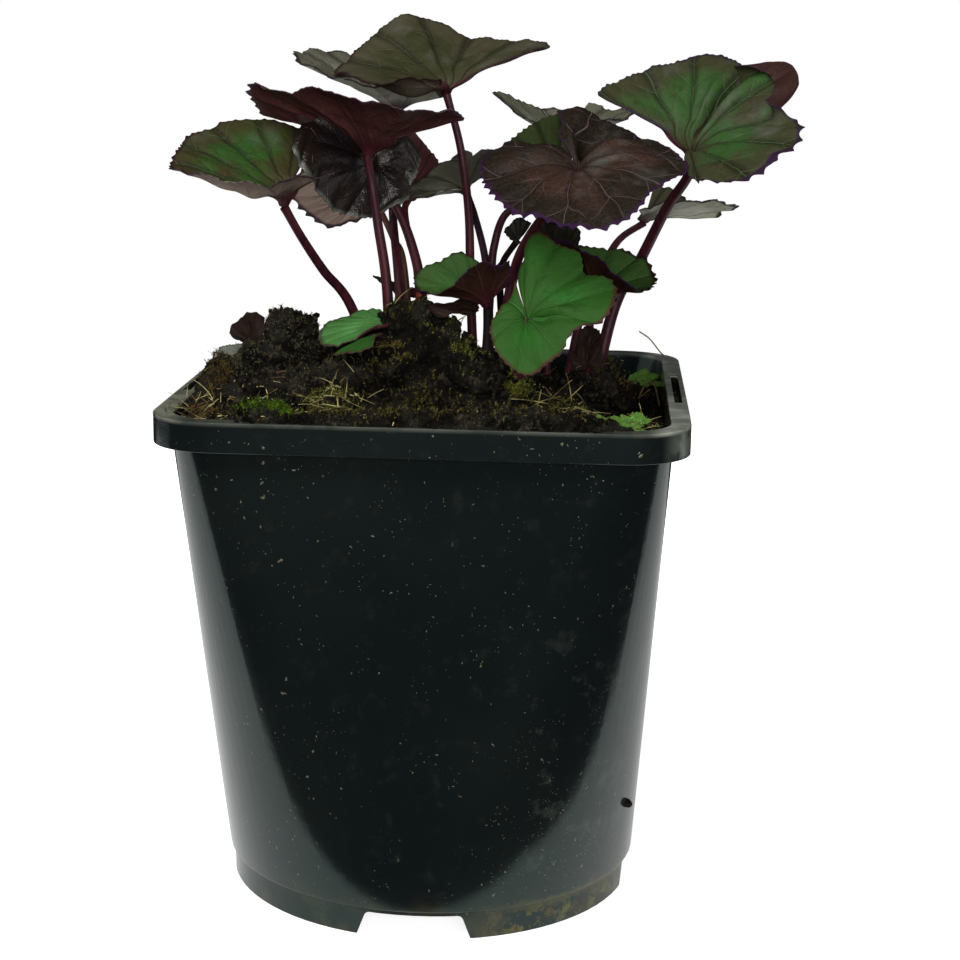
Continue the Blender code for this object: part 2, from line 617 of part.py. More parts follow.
def addRing(bm, name, share, rise, ground):
    x, y, halfLong, halfWide, turn = mats[name][:5]
    turn = math.radians(turn)
    ring = []
    for k in range(matPoints):
        angle = 2 * math.pi * k / matPoints
        along = halfLong * share * math.cos(angle)
        across = halfWide * share * math.sin(angle)
        px = x + along * math.cos(turn) - across * math.sin(turn)
        py = y + along * math.sin(turn) + across * math.cos(turn)
        ring.append(bm.verts.new(Vector((px, py, ground(px, py, 2.0) + rise)) * mm))
    return ring


def makeMat(name, ground, parent):
    x, y, halfLong, halfWide, turn, height, finish, shape = mats[name]
    middle = ground(x, y, 2.0)
    bm = bmesh.new()
    rings = [addRing(bm, name, 0.5, 0, ground), addRing(bm, name, shape[0][0], 0, ground)]
    rings += [addRing(bm, name, share, rise * height, ground) for share, rise in shape]
    for inner, outer in zip(rings, rings[1:]):
        for k in range(matPoints):
            n = (k + 1) % matPoints
            bm.faces.new((inner[k], inner[n], outer[n], outer[k]))
    for ring, z in ((rings[0], middle), (rings[-1], middle + height)):
        tip = bm.verts.new(Vector((x, y, z)) * mm)
        for k in range(matPoints):
            bm.faces.new((ring[k], ring[(k + 1) % matPoints], tip))
    bmesh.ops.triangulate(bm, faces=bm.faces)
    mat = addPiece(name, bm, finish, parent)
    settle(mat, ground)
    smoothPiece(mat, 60)


def makeGrass(name, parent):
    radius, points = grasses[name]
    path = smoothPath(points, 3)
    bm = bmesh.new()
    addTube(bm, path, [radius] * len(path), 5)
    smoothPiece(addPiece("grass_" + name, bm, "straw", parent), 60)


def main():
    clearScene()
    root = bpy.data.objects.new("potAxis", None)
    root.location = (potAxisX * mm, 0, 0)
    bpy.context.scene.collection.objects.link(root)
    makePot(root)
    soil = makeSoil(root)
    for name, leaf in leaves.items():
        makeBlade("leaf_" + name, leaf, root)
        makeStalk(name, root)
    ground = makeGround(soil)
    for name, scrap in scraps.items():
        piece = makeBlade("scrap_" + name, scrap, root)
        if name not in leaning:
            settle(piece, ground)
    for name in mats:
        makeMat(name, ground, root)
    for name in grasses:
        makeGrass(name, root)
    for name in stalks:
        makeSocket(name, soil, root)


main()
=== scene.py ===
# Potted ligularia: the looks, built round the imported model.
# Shapes are worked out in millimetres from the pot's axis, with the ground at z = 0. The leaf,
# stalk and soil tables say what the model's own say.

from math import atan2, copysign, cos, exp, hypot, pi, radians, sin, sqrt

import bmesh
import bpy
import numpy as np
from mathutils import Matrix, Vector, noise
from mathutils.bvhtree import BVHTree


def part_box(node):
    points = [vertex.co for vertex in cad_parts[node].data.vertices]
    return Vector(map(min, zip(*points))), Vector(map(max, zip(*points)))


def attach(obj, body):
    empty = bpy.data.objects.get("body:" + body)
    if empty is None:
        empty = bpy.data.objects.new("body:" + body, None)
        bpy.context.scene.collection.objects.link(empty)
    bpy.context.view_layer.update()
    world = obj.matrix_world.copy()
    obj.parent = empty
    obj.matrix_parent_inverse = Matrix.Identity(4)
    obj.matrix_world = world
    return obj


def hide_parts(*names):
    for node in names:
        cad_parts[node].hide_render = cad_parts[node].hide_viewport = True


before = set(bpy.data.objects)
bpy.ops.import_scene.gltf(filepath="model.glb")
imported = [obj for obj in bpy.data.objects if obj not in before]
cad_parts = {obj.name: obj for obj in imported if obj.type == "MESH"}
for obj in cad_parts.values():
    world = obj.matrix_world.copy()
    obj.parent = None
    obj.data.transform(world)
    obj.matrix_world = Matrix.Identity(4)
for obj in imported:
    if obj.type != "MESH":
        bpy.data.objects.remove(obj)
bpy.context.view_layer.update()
noise.seed_set(1795362222)       # else noise vectors differ from run to run
mm = 0.001
seeds = {"crumbs": 4, "moss": 20, "straw": 50, "scraps": 60, "plantlets": 80, "seedlings": 90}
potLow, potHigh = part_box("pot")
potAxisX = (potLow.x + potHigh.x) / 2 / mm
potHeight = potHigh.z / mm


# small tools for curves and meshes

def smoothPath(points, perSpan):
    # a Catmull-Rom curve through the points
    p = np.array(points, float)
    p = np.vstack([2 * p[0] - p[1], p, 2 * p[-1] - p[-2]])
    rows = []
    for i in range(1, len(p) - 2):
        for k in range(perSpan):
            t = k / perSpan
            a, b, c, d = p[i - 1], p[i], p[i + 1], p[i + 2]
            rows.append(0.5 * (2 * b + (c - a) * t + (2 * a - 5 * b + 4 * c - d) * t ** 2
                               + (3 * b - a - 3 * c + d) * t ** 3))
    rows.append(p[-2])
    return np.array(rows)


def pathLengths(path):
    return np.r_[0, np.cumsum(np.linalg.norm(np.diff(path, axis=0), axis=1))]


def evenly(path, count):
    lengths = pathLengths(path)
    wanted = np.linspace(0, lengths[-1], count + 1)
    return np.column_stack([np.interp(wanted, lengths, path[:, k]) for k in range(3)])


def ease(low, high, x):
    t = np.clip((x - low) / (high - low), 0, 1)
    return t * t * (3 - 2 * t)


def wave(x, period, seed):
    # a soft wave that doesn't repeat, between -1 and 1
    rng = np.random.default_rng(seed)
    a, b, c = rng.uniform(0, 2 * pi, 3)
    turn = 2 * pi * x / period
    return (np.sin(turn + a) + 0.7 * np.sin(turn * 1.63 + b) + 0.4 * np.sin(turn * 2.7 + c)) / 2.1


def lumps(points, size, seed=0.0):
    # smooth noise at each point, between about -1 and 1
    return np.array([noise.noise(Vector(p) / size + Vector((seed, seed, seed))) for p in points])


def gridFaces(rows, wide, closed=True):
    # four-sided faces between rows of points, where a closed row runs on into its first point
    return [(low + k, low + (k + 1) % wide, low + wide + (k + 1) % wide, low + wide + k)
            for low in range(0, (rows - 1) * wide, wide) for k in range(wide if closed else wide - 1)]


def fanFaces(ring, tip):
    return [(ring[k], ring[(k + 1) % len(ring)], tip) for k in range(len(ring))]


def tube(path, radii, sides):
    # a closed tube: rings square to the path, and a point at each end
    path = np.asarray(path, float)
    tangents = unit(np.gradient(path, axis=0))
    side = np.cross(tangents[0], (0.3, 1.0, 0.2))
    verts = []
    for point, tangent, radius in zip(path, tangents, radii):
        side = side - tangent * (side @ tangent)
        side /= np.linalg.norm(side)
        other = np.cross(tangent, side)
        for k in range(sides):
            angle = 2 * pi * k / sides
            verts.append(point + radius * (cos(angle) * side + sin(angle) * other))
    faces = gridFaces(len(path), sides)
    last = (len(path) - 1) * sides
    verts += [path[0] - tangents[0] * radii[0] * 0.4, path[-1] + tangents[-1] * radii[-1] * 0.4]
    for k in range(sides):
        n = (k + 1) % sides
        faces.append((n, k, len(verts) - 2))
        faces.append((last + k, last + n, len(verts) - 1))
    return np.array(verts), faces


def unit(vectors):
    return vectors / np.linalg.norm(vectors, axis=-1)[..., None]


def gridNormals(rows, copied=0):
    # which way each point of a grid faces; the last rows can copy the row before them
    out, side = np.gradient(rows, axis=0), np.gradient(rows, axis=1)
    if copied:
        out[-copied:] = out[-copied - 1]
        side[-copied:] = side[-copied - 1]
    return unit(np.cross(out, side))


def join(shapes):
    verts, faces, count = [], [], 0
    for shapeVerts, shapeFaces in shapes:
        verts.append(shapeVerts)
        faces += [tuple(i + count for i in face) for face in shapeFaces]
        count += len(shapeVerts)
    return np.vstack(verts), faces


def makePiece(name, shape, materials, nodes=(), faceSlots=None, maps=None, sharp=60):
    verts, faces = shape
    mesh = bpy.data.meshes.new(name)
    world = (np.asarray(verts) + (potAxisX, 0, 0)) * mm
    mesh.from_pydata(world.tolist(), [], faces)
    for material in materials:
        mesh.materials.append(material)
    if faceSlots is not None:
        mesh.polygons.foreach_set("material_index", np.array(faceSlots, np.int32))
    corners = np.empty(len(mesh.loops), np.int32)
    mesh.loops.foreach_get("vertex_index", corners)
    for mapName, values in (maps or {}).items():
        layer = mesh.uv_layers.new(name=mapName)
        layer.data.foreach_set("uv", np.asarray(values, np.float32)[corners].ravel())
    mesh.validate()
    mesh.shade_smooth()
    mesh.set_sharp_from_angle(angle=radians(sharp))
    piece = bpy.data.objects.new(name, mesh)
    bpy.context.scene.collection.objects.link(piece)
    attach(piece, "root")
    if nodes:
        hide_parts(*nodes)
    return piece


# small tools for materials; colours are red, green and blue in thousandths

def addNode(tree, kind, inputs=None, output=0, **settings):
    made = tree.nodes.new("ShaderNode" + kind)
    for key, value in settings.items():
        setattr(made, key, value)
    for key, value in (inputs or {}).items():
        if isinstance(value, bpy.types.NodeSocket):
            tree.links.new(value, made.inputs[key])
        else:
            made.inputs[key].default_value = value
    return made.outputs[output]


def sums(tree, operation, *values):
    return addNode(tree, "Math", dict(enumerate(values)), operation=operation)


def times(tree, *values):
    return sums(tree, "MULTIPLY", *values)


def plus(tree, *values):
    return sums(tree, "ADD", *values)


def minus(tree, *values):
    return sums(tree, "SUBTRACT", *values)


def coords(tree, axis=None):
    # the object's own coordinates, or one of them
    place = addNode(tree, "TexCoord", output=3)
    return place if axis is None else addNode(tree, "SeparateXYZ", {"Vector": place}, axis)


def between(tree, value, low, high, atLow=0.0, atHigh=1.0):
    return addNode(tree, "MapRange", {"Value": value, "From Min": low, "From Max": high,
                                      "To Min": atLow, "To Max": atHigh},
                   interpolation_type="SMOOTHSTEP")


def mix(tree, share, first, second):
    made = tree.nodes.new("ShaderNodeMix")
    made.data_type = "RGBA"
    for socket, value in ((made.inputs[0], share), (made.inputs[6], first), (made.inputs[7], second)):
        if isinstance(value, bpy.types.NodeSocket):
            tree.links.new(value, socket)
        elif socket.type == "RGBA":
            socket.default_value = (*(part / 1000 for part in value), 1.0)
        else:
            socket.default_value = value
    return made.outputs[2]


def grain(tree, scale, detail=3.0, stretch=(1, 1, 1), roughness=0.55):
    place = addNode(tree, "Mapping", {"Vector": coords(tree), "Scale": stretch})
    return addNode(tree, "TexNoise", {"Vector": place, "Scale": scale, "Detail": detail,
                                      "Roughness": roughness})


def blotches(tree, scale, detail, low, high, least=0.0, most=1.0):
    return between(tree, grain(tree, scale, detail), low, high, least, most)


def newMaterial(name, roughness, specular=0.5):
    material = bpy.data.materials.new(name)
    material.use_nodes = True
    tree = material.node_tree
    shader = tree.nodes["Principled BSDF"]
    shader.inputs["Roughness"].default_value = roughness
    shader.inputs["Specular IOR Level"].default_value = specular
    return material, tree, shader


def finish(tree, shader, colour, height=None, depth=0.3, strength=0.5):
    tree.links.new(colour, shader.inputs["Base Color"])
    if height:
        bump = addNode(tree, "Bump", {"Height": height, "Strength": strength, "Distance": depth * mm})
        tree.links.new(bump, shader.inputs["Normal"])


# leaf blades

leaves = {          # where the stalk meets it, how far it rises round the stalk, its rim
    "top": ((2, 0, 272), 2.5, [
        (31, -2, 286), (35, 8, 288), (18, 25, 289), (6, 32, 291), (-7, 36, 295), (-16, 36, 296),
        (-24, 28, 292), (-30, 18, 285), (-35, -2, 278), (-29, -16, 277), (-18, -24, 276), (-8, -24, 277),
        (0, -14, 276)]),
    "top_back": ((-19, 36, 263), 2, [
        (-39, 56, 284), (-47, 48, 285), (-54, 29, 283), (-46, 19, 279), (-37, 12, 276), (-26, 10, 274),
        (-14, 12, 273), (-6, 18, 273), (-2, 32, 270), (-6, 50, 276), (-18, 60, 281)]),
    "raised_red": ((-24, -5, 251), 3, [
        (-55, 5, 265), (-60, 0, 264), (-62, -10, 269), (-60, -18, 274), (-48, -30, 272), (-38, -38, 273),
        (-27, -44, 271), (-14, -44, 269), (-5, -38, 267), (5, -28, 267), (9, -20, 264), (5, -14, 263)]),
    "left_green": ((-48, -32, 236), 3, [
        (-41, -4, 257), (-47, -2, 259), (-53, 0, 261), (-65, 0, 262), (-75, -4, 260), (-83, -12, 256),
        (-84, -20, 253), (-84, -36, 248), (-73, -46, 247), (-61, -52, 245), (-50, -54, 244),
        (-40, -52, 246), (-30, -44, 247)]),
    "glossy_dark": ((-25, 6, 247), 4, [
        (-32, 2, 255), (-41, -14, 257), (-46, -22, 253), (-44, -24, 249), (-41, -24, 244),
        (-38, -20, 240), (-34, -14, 234), (-28, -6, 232), (-23, -2, 231), (-18, 1, 233), (-13, 3, 235),
        (-11, 8, 241), (-8, 16, 249), (-14, 22, 253), (-24, 16, 255)]),
    "left_under": ((-28, 46, 237), 1.5, [
        (-25, 42, 229), (-32, 40, 227), (-41, 38, 224), (-45, 38, 225), (-53, 38, 231), (-56, 40, 236),
        (-54, 44, 242), (-46, 50, 246), (-34, 54, 246)]),
    "brown_red": ((-14, 38, 234), 1, [
        (-2, 42, 241), (-4, 48, 245), (-8, 52, 250), (-12, 54, 254), (-16, 54, 256), (-20, 54, 256),
        (-23, 52, 252), (-25, 48, 247), (-23, 42, 240)]),
    "edge_on": ((8, 22, 237), 1.5, [
        (5, 47, 250), (0, 44, 247), (-10, 35, 240), (-14, 24, 235), (-12, 12, 235), (-6, 10, 236),
        (1, 9, 238), (8, 9, 240), (13, 12, 242), (17, 20, 247), (19, 32, 251), (12, 42, 251)]),
    "centre_purple": ((47, -20, 248), 3, [
        (31, -2, 255), (23, -2, 256), (16, -12, 249), (18, -24, 243), (27, -40, 237), (39, -48, 235),
        (53, -54, 232), (65, -50, 238), (72, -38, 245), (82, -24, 250), (70, -6, 257), (57, 2, 263),
        (47, 4, 267), (39, 2, 266)]),
    "behind_centre": ((40, 24, 243), 1, [
        (52, 26, 263), (43, 28, 265), (34, 28, 263), (26, 26, 258), (21, 22, 253), (21, 16, 246),
        (29, 12, 238), (39, 10, 235), (49, 12, 237)]),
    "right_big": ((84, -6, 253), 4, [
        (82, -22, 249), (86, -34, 247), (96, -44, 248), (103, -44, 250), (109, -40, 254), (115, -34, 258),
        (118, -24, 265), (119, -10, 275), (116, 0, 281), (111, 4, 284), (104, 10, 281), (97, 18, 283),
        (89, 22, 286), (80, 20, 283), (70, 14, 280), (61, 8, 277), (53, 0, 273), (58, -8, 269)]),
    "right_thin": ((70, 38, 227), 1, [
        (68, 22, 232), (74, 18, 235), (83, 16, 236), (91, 18, 236), (101, 26, 234), (97, 34, 231),
        (94, 40, 229), (90, 46, 233), (83, 52, 235), (77, 54, 238), (73, 52, 237)]),
    "back": ((39, 52, 251), 1.5, [
        (39, 68, 264), (28, 62, 266), (19, 52, 270), (15, 42, 270), (23, 36, 265), (32, 34, 261),
        (46, 34, 261), (59, 40, 262), (67, 50, 265), (58, 62, 265), (49, 68, 267)]),
    "low_centre": ((18, -15, 202), 1.5, [
        (14, -6, 216), (8, -6, 219), (1, -6, 216), (-6, -8, 212), (-6, -12, 208), (-1, -20, 207),
        (5, -26, 209), (10, -29, 213), (15, -29, 218), (21, -27, 217), (25, -22, 218), (25, -16, 210)]),
    "bright_green": ((32, -33, 201), 2, [
        (28, -25, 212), (27, -28, 208), (24, -32, 204), (21, -36, 199), (22, -42, 194), (26, -47, 189),
        (33, -50, 186), (39, -50, 189), (44, -48, 194), (47, -46, 199), (56, -44, 203), (60, -38, 209),
        (58, -32, 214), (50, -28, 215), (48, -22, 221), (42, -20, 223), (34, -16, 227), (30, -18, 220),
        (29, -22, 213)]),
    "low_right": ((53, 0, 204), 1.5, [
        (34, -4, 226), (47, -12, 222), (59, -16, 215), (68, -16, 209), (72, -6, 209), (73, 4, 211),
        (70, 12, 216), (62, 18, 218), (51, 20, 219), (42, 14, 222)]),
    "small_dark": ((26, 15, 222), 0.5, [
        (31, 6, 229), (27, 4, 231), (24, 4, 229), (22, 6, 226), (25, 6, 223), (28, 8, 221), (31, 12, 221)]),
    "small_grey": ((39, 23, 214), 0.5, [
        (47, 20, 220), (47, 18, 226), (40, 18, 228), (34, 20, 228), (31, 22, 223)]),
    "soil_upper": ((-16, -18, 196), 1, [
        (-15, -14, 199), (-21, -10, 200), (-29, -12, 198), (-35, -18, 196), (-37, -26, 193),
        (-34, -34, 191), (-27, -36, 192), (-22, -32, 195)]),
    "soil_lower": ((-17, -34, 195), 0.5, [
        (-23, -36, 193), (-28, -42, 191), (-29, -46, 190), (-24, -48, 191), (-17, -46, 193)]),
}

leafUppers = {      # body, patches, veins, rim, roughness
    "olive": ((34, 37, 13), (66, 60, 34), (80, 85, 45), (30, 14, 12), 0.42),
    "greyOlive": ((190, 195, 155), (100, 95, 65), (180, 180, 140), (30, 20, 20), 0.45),
    "green": ((26, 80, 13), (45, 36, 14), (70, 110, 40), (30, 12, 12), 0.42),
    "brightGreen": ((22, 125, 15), (28, 90, 14), (50, 150, 35), (60, 25, 14), 0.55),
    "freshGreen": ((40, 140, 24), (38, 85, 18), (70, 150, 45), (20, 10, 8), 0.5),
    "mottled": ((36, 92, 22), (46, 42, 20), (80, 130, 50), (30, 14, 35), 0.45),
    "leafGreen": ((35, 80, 16), (50, 70, 20), (80, 130, 40), (40, 30, 20), 0.48),
    "paleOlive": ((200, 210, 165), (120, 120, 80), (280, 290, 240), (50, 30, 30), 0.48),
    "paleGreen": ((115, 330, 90), (65, 190, 45), (150, 340, 120), (50, 60, 30), 0.5),
    "darkGreen": ((24, 34, 14), (20, 16, 10), (70, 80, 45), (15, 10, 20), 0.45),
    "purpleBrown": ((40, 20, 14), (14, 11, 7), (150, 100, 95), (35, 12, 40), 0.4),
    "blackPurple": ((6, 4, 5), (14, 8, 6), (20, 14, 14), (100, 110, 90), 0.29),
}
leafUnders = {
    "oliveBrown": ((85, 75, 52), (55, 38, 30), (130, 110, 80), (30, 14, 12), 0.45),
    "redBrown": ((110, 37, 35), (65, 20, 22), (190, 85, 75), (80, 45, 60), 0.45),
    "maroon": ((50, 20, 16), (35, 14, 12), (90, 50, 40), (40, 20, 40), 0.5),
    # greyBrown and greyGreen are far paler than these undersides' own colour: painted light, for the light a
    # white floor throws up onto them
    "greyBrown": ((400, 310, 250), (220, 160, 130), (160, 80, 70), (40, 25, 30), 0.55),
    "greyGreen": ((600, 610, 510), (400, 400, 320), (200, 150, 120), (40, 30, 30), 0.55),
    "darkBrown": ((40, 17, 10), (28, 11, 8), (90, 50, 35), (30, 12, 40), 0.45),
    "purple": ((50, 22, 70), (50, 18, 30), (110, 60, 70), (40, 15, 80), 0.45),
}
stalkTint = (55, 11, 16)


def leafMaterial(name, look, upper):
    body, patch, vein, rim, roughness = look
    material, tree, shader = newMaterial(name, roughness, 0.4 if roughness < 0.35 else 0.1)
    veined = upper and 0.35 < roughness < 0.5
    veins = addNode(tree, "SeparateXYZ", {"Vector": addNode(tree, "UVMap", uv_map="veins")})
    turn, out = veins, veins.node.outputs[1]
    fromRim = addNode(tree, "SeparateXYZ", {"Vector": addNode(tree, "UVMap", uv_map="rim")}, output=1)
    wander = grain(tree, 45, 2)
    turn = plus(tree, turn, times(tree, minus(tree, wander, 0.5), 0.35))
    across = sums(tree, "ABSOLUTE", minus(tree, sums(tree, "FRACT", turn), 0.5))
    toMain = times(tree, across, out)
    mainVein = between(tree, toMain, 0.018, 0.045, 1, 0)
    chevron = minus(tree, times(tree, out, 0.8), times(tree, across, 1.6))
    toSide = sums(tree, "FRACT", chevron)
    toSide = sums(tree, "MINIMUM", toSide, minus(tree, 1.0, toSide))
    sideVein = times(tree, between(tree, toSide, 0.01, 0.045, 1, 0),
                     between(tree, across, 0.5, 0.3, 0, 0.6))
    cells = addNode(tree, "TexVoronoi", {"Vector": coords(tree), "Scale": 420}, feature="DISTANCE_TO_EDGE")
    net = between(tree, cells, 0.0, 0.1, 0.15, 0)
    lines = sums(tree, "MAXIMUM", sums(tree, "MAXIMUM", mainVein, sideVein), net)
    lines = times(tree, lines, blotches(tree, 90, 2, 0.3, 0.62, 0.4, 1))
    colour = mix(tree, blotches(tree, 55, 4, 0.46, 0.66), body, patch)
    colour = mix(tree, blotches(tree, 900, 3, 0.5, 0.75, 0, 0.16), colour, vein)
    colour = mix(tree, blotches(tree, 260, 4, 0.42, 0.3, 0, 0.35), colour, (8, 6, 4))
    rimWide = plus(tree, fromRim, times(tree, minus(tree, wander, 0.5), 0.5))
    colour = mix(tree, between(tree, rimWide, 0.3, 1.5, 0.9, 0), colour, patch)
    if veined:
        # painted shade darkens the hollows beside the veins, and the swells between them get a painted grey
        # sheen in places
        paintedShade = times(tree, between(tree, across, 0.02, 0.17, 0.65, 0), between(tree, out, 0.3, 1.2))
        colour = mix(tree, paintedShade, colour, (10, 8, 6))
        paintedSheen = times(tree, blotches(tree, 38, 3, 0.53, 0.68, 0, 0.42),
                      between(tree, across, 0.08, 0.35, 0.25, 1))
        colour = mix(tree, paintedSheen, colour, (140, 140, 120))
    colour = mix(tree, times(tree, lines, 0.9), colour, vein)
    if veined:
        # the main veins are dark red where they leave the stalk
        red = times(tree, between(tree, toMain, 0.02, 0.07, 0.8, 0), between(tree, out, 0.7, 1.9, 1, 0))
        colour = mix(tree, red, colour, (35, 12, 10))
    colour = mix(tree, between(tree, rimWide, -0.05, 0.1, 1, 0), colour, rim)
    if not upper:
        # the underside runs into its stalk
        colour = mix(tree, between(tree, plus(tree, out, wander), 0.7, 1.7, 0.9, 0), colour, stalkTint)
    height = plus(tree, times(tree, lines, -1.0 if upper else 1.0),
                  times(tree, grain(tree, 700, 4), 0.8))
    finish(tree, shader, colour, height, 0.5 if upper else 0.35, 0.8)
    return material


leafLooks = {       # upper side, underside, ripple of the rim in mm,
    # teeth: mm all round, mm more at a place, the place round the rim, its width
    # curls of the rim: place, width, where from, degrees, how much further out
    # dents: place, how far out, width, reach, mm towards the upper side
    "top": ("olive", "oliveBrown", 0.4, (0.5, 0.5, 0.8, 0.15), [],
            [(0.42, 0.6, 0.05, 0.4, 1.5), (0.87, 0.5, 0.08, 0.3, -5.0)]),
    "top_back": ("greyOlive", "greyGreen", 0.4, (0.4, 0.9, 0.28, 0.12), [], []),
    "raised_red": ("olive", "redBrown", 0.2, (0.5, 1.7, 0.14, 0.09), [], [(0.5, 0.7, 0.06, 0.4, 1.5)]),
    "left_green": ("green", "greyBrown", 0.4, (0.7, 0.3, 0.5, 0.15), [], [(0.7, 0.55, 0.15, 0.3, -4.0)]),
    "glossy_dark": ("blackPurple", "redBrown", 1.3, (0.7, 0.3, 0.5, 0.2), [],
                    [(0.2, 0.6, 0.05, 0.4, 2.0), (0.85, 0.6, 0.06, 0.4, 2.0)]),
    "left_under": ("olive", "greyBrown", 0.5, (1.5, 0.3, 0.3, 0.2), [], []),
    "brown_red": ("redBrown", "redBrown", 0.3, (0.5, 0.2, 0.5, 0.2), [], []),
    "edge_on": ("greyOlive", "greyGreen", 0.3, (0.6, 1.5, 0.48, 0.14), [], []),
    "centre_purple": ("purpleBrown", "purple", 0.5, (0.5, 1.6, 0.34, 0.2), [],
                      [(0.9, 0.45, 0.03, 0.35, -6.0), (0.97, 0.5, 0.03, 0.4, 2.5),
                       (0.82, 0.5, 0.035, 0.4, 2.5), (0.72, 0.5, 0.04, 0.45, 2.2),
                       (0.1, 0.6, 0.05, 0.4, 2.0), (0.45, 0.5, 0.05, 0.4, 1.0)]),
    "behind_centre": ("leafGreen", "greyBrown", 0.3, (0.5, 0.3, 0.5, 0.2), [], []),
    "right_big": ("mottled", "maroon", 0.5, (0.6, 2.0, 0.22, 0.22), [(0.475, 0.095, 0.8, 178, 0.22)],
                  [(0.585, 0.5, 0.026, 0.4, -5.5), (0.645, 0.5, 0.035, 0.4, 3.0), (0.53, 0.5, 0.03, 0.3, 2.0),
                   (0.86, 0.6, 0.06, 0.4, -1.5)]),
    "right_thin": ("olive", "greyGreen", 0.5, (0.9, 0.5, 0.4, 0.2), [], []),
    "back": ("paleOlive", "greyGreen", 0.5, (0.8, 0.6, 0.6, 0.2), [], []),
    "low_centre": ("freshGreen", "darkBrown", 0.4, (0.6, 0.3, 0.3, 0.2), [], []),
    "bright_green": ("brightGreen", "redBrown", 0.4, (0.6, 0.6, 0.5, 0.15), [],
                     [(0.46, 0.27, 0.04, 0.2, -4.0), (0.53, 0.4, 0.04, 0.3, 2.5),
                      (0.38, 0.45, 0.05, 0.35, 1.5)]),
    "low_right": ("freshGreen", "darkBrown", 0.4, (0.8, 0.6, 0.55, 0.15), [], []),
    "small_dark": ("darkGreen", "darkBrown", 0.4, (0.7, 0, 0, 1), [], []),
    "small_grey": ("darkGreen", "darkBrown", 0.4, (0.7, 0, 0, 1), [], []),
    "soil_upper": ("paleGreen", "redBrown", 0.25, (0.6, 0, 0, 1), [], []),
    "soil_lower": ("brightGreen", "redBrown", 0.25, (0.5, 0, 0, 1), [], []),
}
leafUppers["redBrown"] = leafUnders["redBrown"]
bladeForm = {"thick": 0.5, "rimThick": 0.28, "aroundStep": 0.5, "outStep": 1.3, "veins": 9, "quilt": 0.8,
             "ribs": 0.28, "lumps": 0.55, "lumpSize": 7, "join": 0.3, "still": 0.06, "shortWave": 15,
             "longWave": 55}
creaseOfBlades = 50     # degrees over which an edge is sharp
creaseOfSoil = 80
creaseOfCrumbs = 30
sinusJoined = {"glossy_dark": 1.05, "centre_purple": 0.72, "edge_on": 1.05}    # how far out the margins meet


def toothHeights(along, teeth, seed):
    # sharp tips with round scallops between them, as heights over the rim
    least, more, place, width = teeth
    total = along[-1]
    rng = np.random.default_rng(seed)
    tips, heights = [0.0], [0.0]
    while tips[-1] < total:
        size = least + more * exp(-((tips[-1] / total - place) / width) ** 2)
        tips.append(tips[-1] + (1.7 + 1.6 * size) * rng.uniform(0.75, 1.25))
        heights.append(size * rng.uniform(0.7, 1.15))
    tips, heights = np.array(tips), np.array(heights)
    after = np.clip(np.searchsorted(tips, along), 1, len(tips) - 1)
    share = (along - tips[after - 1]) / (tips[after] - tips[after - 1])
    nearest = np.where(share < 0.5, heights[after - 1], heights[after])
    return nearest * np.abs(2 * share - 1) ** 1.7


def closeSinus(spokes, up, v, leafJoin):
    # near the stalk the blade goes all round it, so that its two margins meet there
    flat = spokes[-1] - np.outer(spokes[-1] @ up, up)
    first = flat[0] / np.linalg.norm(flat[0])
    second = np.cross(up, first)
    turns = np.unwrap(np.arctan2(flat @ second, flat @ first))
    gap = 2 * pi - abs(turns[-1])
    if gap <= 0.05:
        return spokes
    share = 1.04 * gap * (1 - ease(leafJoin - 0.25, leafJoin, v)) * np.sign(turns[-1])
    angle = share * (np.linspace(0, 1, spokes.shape[1]) - 0.5)
    c, s = np.cos(angle)[:, :, None], np.sin(angle)[:, :, None]
    along = (spokes @ up)[:, :, None] * up
    return spokes * c + np.cross(up, spokes) * s + along * (1 - c)


